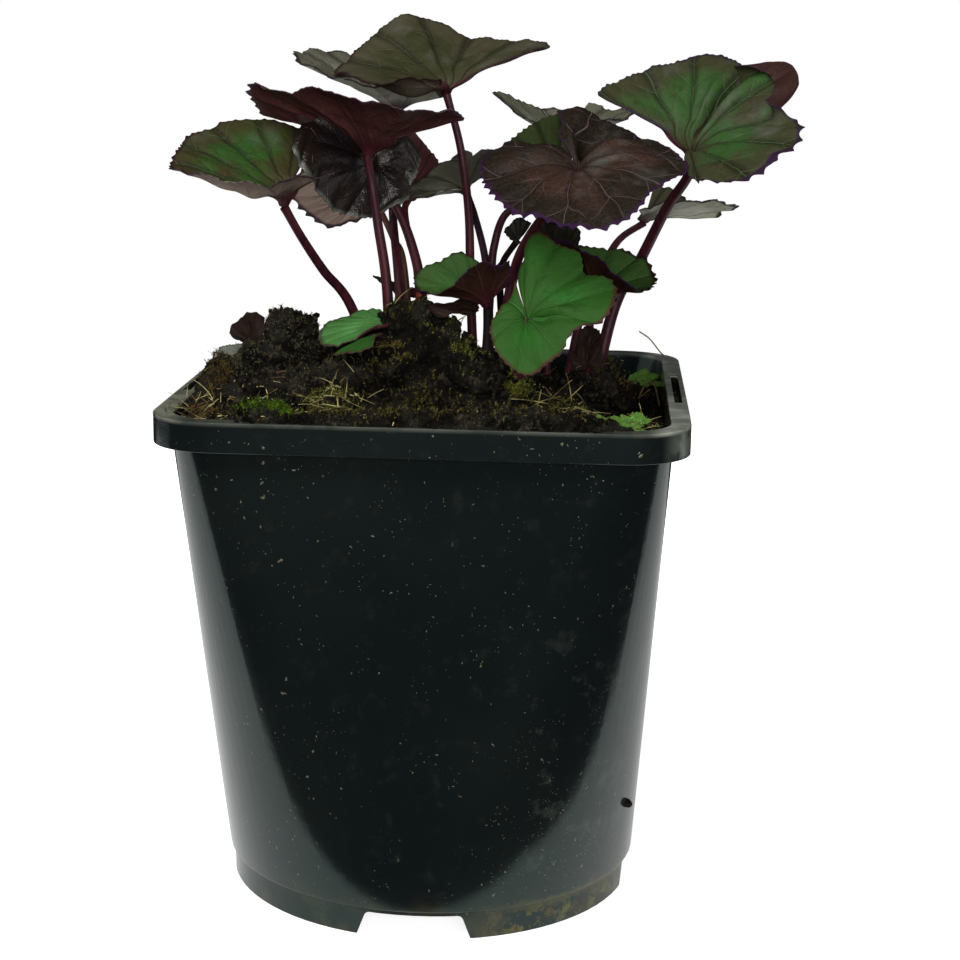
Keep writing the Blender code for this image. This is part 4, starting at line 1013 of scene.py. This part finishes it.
def makeSoil(material):
    n = soilForm["cells"]
    reach = bodyHalf - wall - 0.3
    ticks = np.linspace(-1, 1, n + 1)
    verts = []
    for j in ticks:
        for i in ticks:
            x, y = i * reach, j * reach
            # the square grid is drawn in to the pot's round corners
            z = float(soilHeight(x, y))
            half, corner = bodyOutline(min(z, potHeight), wall + 0.3)
            x, y = x * half / reach, y * half / reach
            dx, dy = abs(x) - (half - corner), abs(y) - (half - corner)
            if dx > 0 and dy > 0:
                scale = max(dx, dy) / hypot(dx, dy)
                x = copysign(half - corner + dx * scale, x)
                y = copysign(half - corner + dy * scale, y)
            verts.append(tuple(soilPoint(x, y)))
    wide = n + 1
    faces = gridFaces(wide, wide, False)
    top = (np.array(verts), list(faces))
    border = list(range(n)) + [j * wide + n for j in range(n)]
    border += [n * wide + n - i for i in range(n)] + [(n - j) * wide for j in range(n)]
    levels = (150.0, 60.0, potForm["floorTop"] + 0.4)
    above = border
    for level in levels:
        half, corner = bodyOutline(level, wall + 0.3)
        start = len(verts)
        for index in border:
            angle = atan2(verts[index][1], verts[index][0])
            verts.append((*edgePoint(angle, half, corner), level))
        row = list(range(start, start + len(border)))
        for k in range(len(border)):
            m = (k + 1) % len(border)
            faces.append((above[k], row[k], row[m], above[m]))
        above = row
    verts.append((0, 0, levels[-1]))
    for k in range(len(border)):
        faces.append((above[k], len(verts) - 1, above[(k + 1) % len(border)]))
    makePiece("compost_body", (np.array(verts), faces), [material], ["soil"], sharp=creaseOfSoil)
    print("soil made")
    return top


def edgePoint(angle, half, corner):
    # where a ray from the axis meets a square outline with round corners
    c, s = abs(cos(angle)), abs(sin(angle))
    inner = half - corner
    far = half / max(c, s)
    x, y = far * c, far * s
    if x > inner and y > inner:
        # the round corner, a circle about (inner, inner)
        b = inner * (c + s)
        far = b + sqrt(max(b * b - 2 * inner * inner + corner * corner, 0))
        x, y = far * c, far * s
    return copysign(x, cos(angle)), copysign(y, sin(angle))


def roundBase(subdivisions):
    # corners and faces of a ball of radius 1
    deselect()
    bpy.ops.mesh.primitive_ico_sphere_add(subdivisions=subdivisions, radius=1.0)
    ball = bpy.context.object
    verts = np.array([v.co for v in ball.data.vertices])
    faces = [tuple(face.vertices) for face in ball.data.polygons]
    bpy.data.objects.remove(ball)
    return verts, faces


def makeClods(material):
    base, faces = roundBase(5)
    shapes = []
    for middle, sizes in clods:
        verts = base * sizes + middle
        rough = min(1, min(sizes) / 5)
        shift = np.array([clumps(Vector(v)) * 0.9 + noise.noise(Vector(v) / 5) * 1.6 for v in verts]) * rough
        shapes.append((verts + base * shift[:, None], faces))
    makePiece("peat_lumps", join(shapes), [material], sharp=creaseOfSoil)
    print("lumps made:", len(shapes))
    return shapes


def flangeTop():
    near, far = flangeInner, flangeOuter
    verts = [(sx * r, sy * r, potHeight)
             for r in (near, far) for sx, sy in ((-1, -1), (1, -1), (1, 1), (-1, 1))]
    return np.array(verts), [(k, 4 + k, 4 + (k + 1) % 4, (k + 1) % 4) for k in range(4)]


def treeOf(shapes):
    verts, faces = join(shapes)
    return BVHTree.FromPolygons([tuple(v) for v in verts], faces)


def holdsLitter(x, y):
    # the soil, and the stretches of the rim where litter lies
    inside = max(abs(x), abs(y)) < 78.2
    onFront = -84 < y < 0 and abs(x - 1) < 57 + 3 * noise.noise(Vector((y, 0, 0)))
    onLeft = -82.5 < x < 0 and -78 < y < -24
    return inside or onFront or onLeft


def landings(rng, ground, middle, spread, count, even=False, steepest=-1.0):
    # places of the ground met from all round above it, with the way it faces there
    found = []
    while len(found) < count:
        off = rng.uniform(-1, 1, 2) if even else rng.normal(0, 0.5, 2)
        x, y = np.array(middle) + off * spread
        lean = rng.normal(0, 0.5, 2)
        way = Vector((lean[0], lean[1], 1)).normalized()
        if max(abs(x), abs(y)) > flangeOuter:
            continue
        point, normal = ground.ray_cast(Vector((x, y, float(soilHeight(x, y)))) + way * 60, -way)[:2]
        if point and holdsLitter(point.x, point.y) and normal.z > steepest:
            found.append((np.array(point), np.array(normal)))
    return found


def crumbShapes(rng, places, most):
    base, faces = roundBase(1)
    shapes = []
    for point, normal in places:
        size = 0.35 + most * rng.random() ** 2.5
        verts = base * rng.uniform(0.6, 1.2, 3) * size * rng.uniform(0.7, 1.25, (len(base), 1))
        spin = np.array(Matrix.Rotation(rng.uniform(0, 6.3), 3, Vector(rng.normal(size=3)).normalized()))
        shapes.append((verts @ spin.T + point + normal * size * 0.25, faces))
    return shapes


def makeCrumbs(material, ground):
    rng = np.random.default_rng(seeds["crumbs"])
    places = landings(rng, ground, (0, 0), (78, 78), soilForm["crumbs"], True)
    makePiece("compost_crumbs", join(crumbShapes(rng, places, 1.3)), [material], sharp=creaseOfCrumbs)
    # the front of the rim is covered too
    places = landings(rng, ground, (2, -80), (57, 4), soilForm["rimCrumbs"], True)
    places = [(p, n) for p, n in places if p[1] > -83.9 + 1.2 * noise.noise(Vector(p) / 9)]
    makePiece("crumbs_on_rim", join(crumbShapes(rng, places, 1.1)), [material], sharp=creaseOfCrumbs)
    print("crumbs made")


def spikes(points, directions, lengths, widths):
    # closed spikes of four faces each, as moss leaves and fine hairs
    along = unit(directions)
    side = unit(np.cross(along, (0.31, 0.87, 0.38)))
    other = np.cross(along, side)
    corners = [points + widths[:, None] * (cos(angle) * side + sin(angle) * other)
               for angle in (0, 2.09, 4.19)]
    verts = np.stack(corners + [points + along * lengths[:, None]], axis=1).reshape(-1, 3)
    faces = []
    for k in range(0, len(verts), 4):
        faces += [(k + 2, k + 1, k), (k, k + 1, k + 3), (k + 1, k + 2, k + 3), (k + 2, k, k + 3)]
    return verts, faces


def mossShoots(rng, places, tall):
    # each shoot is a short stem with small leaves that stand out and up all round it
    leavesEach = 8
    points, directions, lengths = [], [], []
    for point, normal in places:
        axis = normal * 0.7 + (0, 0, 0.5) + rng.normal(0, 0.25, 3)
        height = tall * rng.uniform(0.4, 1.3)
        spin = rng.uniform(0, 6.3)
        for k in range(leavesEach):
            share = k / leavesEach
            angle = spin + 2.4 * k
            around = np.array((cos(angle), sin(angle), 0.1))
            points.append(point + axis * height * (share * 0.8 - 0.1))
            directions.append(around + axis * (0.2 + 1.3 * share))
            lengths.append(height * rng.uniform(0.3, 0.6))
    lengths = np.array(lengths)
    return spikes(np.array(points), np.array(directions), lengths, lengths * 0.15)


def matBody(cx, cy, halfLong, halfWide, turn, height, rough, square):
    # a lumpy dome that goes into the soil all round
    turn = radians(turn)
    around, rings, sunk = 120, 26, 1.5
    verts = []
    for j in range(rings + 1):
        share = 1 - j / rings
        for k in range(around):
            c, s = cos(2 * pi * k / around), sin(2 * pi * k / around)
            stretch = (abs(c) ** square + abs(s) ** square) ** (-1 / square)
            stretch *= 1 + 0.07 * noise.noise(Vector((c * 4, s * 4, cx)))
            along, across = halfLong * share * c * stretch, halfWide * share * s * stretch
            x = cx + along * cos(turn) - across * sin(turn)
            y = cy + along * sin(turn) + across * cos(turn)
            inside = max(abs(x), abs(y)) < flangeInner
            z = float(soilPoint(x, y).z) if inside else potHeight
            z += height * sqrt(max(0, 1 - share ** 2.4))
            shift = rough * (1 - share ** 4)
            place = Vector((x, y, z))
            side = noise.noise_vector(place / 3) * shift * 0.5
            y = max(y + side.y, -flangeOuter)
            verts.append((x + side.x, y, z + shift * clumps(place) * 0.7 - (sunk if j == 0 else 0)))
    last = (rings - 1) * around
    verts = verts[:rings * around] + [verts[-1], (cx, cy, verts[0][2] - 2)]
    faces = gridFaces(rings, around) + fanFaces(range(last, last + around), len(verts) - 2)
    faces += [(b, a, tip) for a, b, tip in fanFaces(range(around), len(verts) - 1)]
    return np.array(verts), faces


def mossMaterial(name, dark, light, tip):
    material, tree, shader = newMaterial(name, 0.9, 0.08)
    colour = mix(tree, blotches(tree, 160, 3, 0.4, 0.62), dark, light)
    colour = mix(tree, blotches(tree, 1100, 2, 0.5, 0.7, 0, 0.8), colour, tip)
    finish(tree, shader, colour, grain(tree, 2500, 3), 0.3, 0.6)
    return material


mossTints = {       # in the hollows, on the shoots, at their tips
    "dark": ((6, 6, 3), (20, 18, 6), (50, 50, 12)),
    "olive": ((22, 18, 5), (85, 68, 16), (320, 280, 75)),
    "mossy": ((30, 28, 14), (105, 97, 46), (280, 260, 130)),
    "bright": ((20, 42, 3), (75, 145, 9), (190, 320, 25)),
    "yellow": ((45, 45, 7), (130, 140, 20), (360, 380, 80)),
    "rusty": ((28, 18, 6), (75, 50, 14), (240, 170, 60)),
}
mossPatches = [     # look, middle, spread, shoots, height in mm
    ("dark", (0, 0), (78, 78), 1500, 1.4), ("olive", (-8, -64), (44, 20), 2200, 1.9),
    ("olive", (38, -62), (24, 18), 900, 1.9), ("dark", (0, -79), (60, 4), 900, 1.3),
    ("yellow", (-22, -58), (18, 12), 260, 1.9), ("rusty", (6, -66), (46, 14), 420, 1.7),
    ("bright", (-46, -74), (7.5, 3.6), 620, 2.1), ("yellow", (29, -18), (5, 4), 220, 2.0),
    ("yellow", (11, -18), (3, 5), 190, 1.8), ("olive", (-8, -31), (16, 5), 420, 1.8),
    ("mossy", (-47, -14), (9, 8), 900, 0.9), ("mossy", (-62, -26), (11, 10), 700, 1.0),
    ("mossy", (-40, -28), (14, 12), 700, 0.9), ("olive", (56, 46), (16, 18), 300, 1.6),
    ("rusty", (-69, -37), (4, 5), 170, 2.0), ("rusty", (-71, -56), (6, 18), 200, 1.5),
    ("yellow", (-32, -44), (8, 5), 200, 1.6), ("olive", (62, -52), (14, 18), 620, 1.7),
    ("rusty", (58, 3), (5, 4), 200, 1.8), ("yellow", (48, -30), (10, 8), 240, 1.6),
    ("dark", (-8, -20), (20, 8), 300, 1.4), ("yellow", (57, -57), (13, 11), 420, 1.7),
    ("mossy", (50, -60), (16, 10), 520, 1.3),
]


def makeMats(soilSkin):
    shapes = []
    for name, form in mats.items():
        shapes.append(matBody(*form))
        makePiece(name + "_body", shapes[-1], [soilSkin], [name], sharp=creaseOfSoil)
    return shapes


def makeMoss(ground):
    for look, tints in mossTints.items():
        shapes = []
        for number, (patch, middle, spread, count, tall) in enumerate(mossPatches):
            if patch == look:
                rng = np.random.default_rng(seeds["moss"] + number)
                places = landings(rng, ground, middle, spread, count, number == 0)
                shapes.append(mossShoots(rng, places, tall))
        skin = mossMaterial("moss_" + look, *tints)
        makePiece("shoots_" + look, join(shapes), [skin], sharp=creaseOfSoil)
    print("moss made")


strawGroups = (     # name, middle, spread, count, shortest and longest, radius, how far it rises, look
    ("straw_left", (-30, -46), (9, 7), 44, (4, 11), 0.17, 0.3, "straw"),
    ("straw_right", (47, -32), (14, 12), 84, (5, 15), 0.19, 0.25, "straw"),
    ("straw_corner", (58, -54), (15, 14), 56, (4, 12), 0.18, 0.2, "straw"),
    ("straw_front", (-2, -46), (34, 14), 60, (3, 9), 0.16, 0.3, "straw"),
    ("straw_edge", (-71, -52), (7, 24), 44, (3, 9), 0.17, 0.5, "brown"),
    ("straw_rim", (-73, -56), (7, 22), 46, (4, 11), 0.13, 0.5, "straw"),
    ("straw_moss", (-52, -62), (10, 6), 16, (4, 10), 0.15, 0.2, "straw"),
    ("fibres_all", (0, 0), (78, 78), 460, (2, 8), 0.13, 0.2, "brown"),
    ("straw_all", (0, -20), (76, 56), 90, (2, 7), 0.12, 0.2, "straw"),
    ("chips_front", (0, -60), (70, 22), 420, (0.8, 2.4), 0.24, 0.1, "straw"),
)


def makeStraw(ground):
    skins = {}
    for look, dark, light in (("straw", (160, 120, 35), (500, 450, 190)),
                              ("brown", (35, 19, 9), (170, 100, 45))):
        material, tree, shader = newMaterial("dry_" + look, 0.7, 0.2)
        colour = mix(tree, blotches(tree, 150, 2, 0.4, 0.6), dark, light)
        finish(tree, shader, colour, grain(tree, 1500, 2), 0.2, 0.4)
        skins[look] = material
    for seed, (name, middle, spread, count, lengths, radius, rise, look) in enumerate(strawGroups):
        rng = np.random.default_rng(seeds["straw"] + seed)
        shapes = []
        for point, normal in landings(rng, ground, middle, spread, count, spread[0] > 60, 0.6):
            length = rng.uniform(*lengths)
            turn = rng.uniform(0, 6.3)
            way = np.array((cos(turn), sin(turn), 0))
            way = way - normal * (way @ normal) + normal * abs(rng.normal(0, rise))
            way /= np.linalg.norm(way)
            bend = np.cross(way, (0, 0, 1)) * rng.normal(0, 0.12) - np.array((0, 0, 0.06))
            share = np.linspace(0, 1, 6)[:, None]
            path = point + normal * 0.25 + (way * share + bend * share ** 2 * 2) * length
            path[:, :2] = np.clip(path[:, :2], -flangeOuter, flangeOuter)
            shapes.append(tube(path, radius * np.linspace(1, 0.5, 6) * rng.uniform(0.7, 1.3), 4))
        makePiece(name, join(shapes), [skins[look]], sharp=creaseOfSoil)
    print("straw made")


def makeScraps():
    witheredLook = ((46, 17, 11), (16, 10, 8), (70, 35, 22), (20, 10, 8), 0.55)
    greyLook = ((260, 280, 230), (140, 150, 120), (330, 350, 290), (100, 90, 70), 0.8)
    yellowLook = ((200, 140, 50), (100, 60, 25), (300, 220, 100), (70, 40, 20), 0.7)
    sproutLook = ((12, 30, 10), (20, 20, 10), (50, 80, 30), (20, 10, 30), 0.5)
    looks = {"left": (witheredLook, 1.6, "withered"), "right": (witheredLook, 2.2, "withered"),
             "centre": (witheredLook, 1.8, "withered"), "grey": (greyLook, 0.7, "greyBrown"),
             "yellow": (yellowLook, 1.0, "straw"), "sprout": (sproutLook, 0.3, "darkGreen")}
    for seed, (name, (look, crumple, slot)) in enumerate(looks.items()):
        skins = [leafMaterial("%s_scrap_%s" % (side, name), look, side == "upper")
                 for side in ("upper", "under")]
        edge = (0.5, (0.5, 0, 0, 1), [], [])
        shape, slots, maps = bladeShape(scraps[name], edge, seeds["scraps"] + seed, 0.3, crumple)
        makePiece("blade_scrap_" + name, shape, skins, ["scrap_" + name], slots, maps, creaseOfBlades)
    print("scraps made")


def roundLeaf(x, y, z, radius, turn, tilt):
    # a small notched round leaf, for seedlings
    out = Vector((cos(turn), sin(turn), sin(tilt)))
    side = Vector((-sin(turn), cos(turn), 0))
    apex = Vector((x, y, z))
    rim = []
    for k in range(9):
        angle = radians(-150 + 300 * k / 8)
        reach = radius * (1.15 + 0.45 * cos(angle))
        rim.append(tuple(apex + out * (cos(angle) * reach) + side * (sin(angle) * reach)))
    return tuple(apex), 0.4, rim


plantlets = {       # middle, leaves, spread, leaf radius, height above the soil, in mm
    "plantlet_left": (54, -50, 12, 5.0, 1.8, 3.4),
    "plantlet_right": (66, -60, 12, 6.0, 1.8, 3.2),
    "liverwort": (72, 64, 9, 6.5, 2.5, 2.4),
}


def groundAt(ground, x, y):
    return ground.ray_cast(Vector((x, y, 300)), Vector((0, 0, -1)))[0].z


def makePlantlets(ground):
    look = ((85, 250, 30), (100, 200, 35), (160, 340, 70), (90, 190, 30), 0.5)
    upper, under = (leafMaterial("seedling_" + side, look, side == "upper") for side in ("upper", "under"))
    stemSkin = stalkMaterial("seedling_stem", (50, 100, 20), (80, 60, 20), (120, 160, 50), 0.5)
    for seed, (name, (cx, cy, count, spread, radius, tall)) in enumerate(plantlets.items()):
        rng = np.random.default_rng(seeds["plantlets"] + seed)
        base = groundAt(ground, cx, cy)
        shapes, slots, maps, stems = [], [], {"veins": [], "rim": []}, []
        for k in range(count):
            turn = 2.4 * k
            far = spread * sqrt((k + 0.5) / count) * 0.8
            x, y = cx + far * cos(turn), cy + far * sin(turn)
            z = groundAt(ground, x, y) + tall * rng.uniform(0.5, 1.1)
            leaf = roundLeaf(x, y, z, radius * rng.uniform(0.7, 1.2), turn + rng.normal(0, 0.5),
                            0.8 * sin(turn) + rng.uniform(-0.2, 0.3))
            edge = (0.1, (0.2, 0, 0, 1), [], [])
            shape, leafSlots, leafMaps = bladeShape(leaf, edge, seeds["seedlings"] + k)
            shapes.append(shape)
            slots += leafSlots
            for mapName in maps:
                maps[mapName].append(leafMaps[mapName])
            path = [(cx, cy, base - 1), ((cx + x) / 2, (cy + y) / 2, (base + z) / 2 + 0.6), (x, y, z - 0.1)]
            stems.append(tube(path, [0.35, 0.28, 0.25], 5))
        maps = {mapName: np.vstack(values) for mapName, values in maps.items()}
        makePiece(name + "_leaves", join(shapes), [upper, under], [name], slots, maps,
                  creaseOfBlades)
        makePiece(name + "_stems", join(stems), [stemSkin])
    print("plantlets made")


def makeGrasses():
    skin = stalkMaterial("grass_dry", (160, 120, 60), (90, 65, 30), (300, 250, 140), 0.5)
    for name, (radius, points) in grasses.items():
        path = smoothPath(points, 10)
        shape = tube(path, np.full(len(path), radius), 8)
        makePiece("grass_stem_" + name, shape, [skin], ["grass_" + name])
    print("grasses made")


makeLeaves()
makeStalks()
makePot()
soilSkin = soilMaterial()
soilTop = makeSoil(soilSkin)
ground = treeOf([soilTop, flangeTop(), *makeClods(soilSkin), *makeMats(soilSkin)])
makeCrumbs(soilSkin, ground)
makeMoss(ground)
makeStraw(ground)
makeScraps()
makePlantlets(ground)
makeGrasses()


# stage: floor, camera and lights

cameraForm = {"turn": 4.6, "rise": 12.25, "distance": 0.7157, "targetHeight": 0.1403, "roll": 0.73,
              "lens": 76.99, "shiftX": 0.0461, "shiftY": -0.0019}
stageForm = {"radius": 0.9, "drop": 0.0002, "glow": 0.4, "seenGlow": 0.4, "farGlow": 1.0, "farFrom": 0.18,
             "farTo": 0.6, "cardFront": -0.084, "cardBack": 0.4, "cardBend": 0.045, "cardSlope": 0.41,
             "cardSoft": 0.008, "cardFade": 0.1, "dark": 60}


def makeStage():
    f = stageForm
    deselect()
    bpy.ops.mesh.primitive_circle_add(vertices=96, radius=f["radius"], fill_type="NGON",
                                      location=(0, 0, -f["drop"]))
    floor = settle()
    floor.name = "floor"
    material, tree, shader = newMaterial("floor_white", 0.9, 0.0)
    seen = addNode(tree, "LightPath")
    # all white to look at; a sheet of white card under the pot is what its sides mirror
    place = coords(tree)
    x = addNode(tree, "SeparateXYZ", {"Vector": place})
    y = x.node.outputs[1]
    slant = times(tree, sums(tree, "MAXIMUM", minus(tree, x, f["cardBend"]), 0.0), f["cardSlope"])
    front = minus(tree, y, slant)
    card = times(tree, between(tree, front, f["cardFront"] - f["cardSoft"], f["cardFront"]),
                 between(tree, y, f["cardBack"] + f["cardFade"], f["cardBack"]))
    white = sums(tree, "MAXIMUM", seen, card)
    colour = mix(tree, white, (f["dark"],) * 3, (900, 900, 900))
    tree.links.new(colour, shader.inputs["Base Color"])
    shader.inputs["Emission Color"].default_value = (1, 1, 1, 1)
    far = addNode(tree, "VectorMath", {0: place}, 1, operation="LENGTH")
    far = plus(tree, between(tree, far, f["farFrom"], f["farTo"], 0, f["farGlow"]), f["seenGlow"])
    glow = plus(tree, f["glow"], times(tree, far, seen))
    tree.links.new(times(tree, white, glow), shader.inputs["Emission Strength"])
    floor.data.materials.append(material)


def makeCamera():
    f = cameraForm
    turn, rise, roll = (radians(f[k]) for k in ("turn", "rise", "roll"))
    back = Vector((sin(turn) * cos(rise), -cos(turn) * cos(rise), sin(rise)))
    right = Vector((cos(turn), sin(turn), 0))
    up = back.cross(right)
    side = right * cos(roll) + up * sin(roll)
    top = up * cos(roll) - right * sin(roll)
    data = bpy.data.cameras.new("camera")
    data.lens = f["lens"]
    data.shift_x = f["shiftX"]
    data.shift_y = f["shiftY"]
    camera = bpy.data.objects.new("camera", data)
    place = Vector((potAxisX * mm, 0, f["targetHeight"])) + back * f["distance"]
    camera.matrix_world = Matrix((side, top, back)).transposed().to_4x4()
    camera.matrix_world.translation = place
    bpy.context.scene.collection.objects.link(camera)
    bpy.context.scene.camera = camera


def addSoftbox(name, place, aim, size, power):
    data = bpy.data.lights.new(name, "AREA")
    data.shape = "RECTANGLE"
    data.size, data.size_y = size
    data.energy = power
    light = bpy.data.objects.new(name, data)
    light.location = place
    light.rotation_mode = "QUATERNION"
    light.rotation_quaternion = (Vector(aim) - Vector(place)).to_track_quat("-Z", "Y")
    bpy.context.scene.collection.objects.link(light)


softboxes = {       # place, what it faces, size, watts
    "light_key": ((-0.5, -0.75, 1.15), (0, 0, 0.15), (0.6, 0.6), 10),
    "light_front": ((0.2, -1.2, 0.4), (0, 0, 0.22), (0.9, 0.5), 10),
    "light_top": ((0.0, -0.2, 1.5), (0, 0, 0.1), (1.2, 1.0), 2.0),
    "light_left": ((-1.0, 0.0, 0.6), (0, 0, 0.25), (1.2, 0.8), 1.5),
    "light_right": ((1.0, 0.1, 0.6), (0, 0, 0.25), (1.2, 0.8), 2.5),
}


def makeLights():
    world = bpy.data.worlds.new("studio")
    bpy.context.scene.world = world
    world.use_nodes = True
    tree = world.node_tree
    shader = tree.nodes["Background"]
    seen = addNode(tree, "LightPath")
    tree.links.new(between(tree, seen, 0, 1, 0.03, 1.0), shader.inputs["Strength"])
    shader.inputs["Color"].default_value = (1, 1, 1, 1)
    for name, values in softboxes.items():
        addSoftbox(name, *values)


makeStage()
makeCamera()
makeLights()
bpy.context.scene.view_settings.view_transform = "Standard"
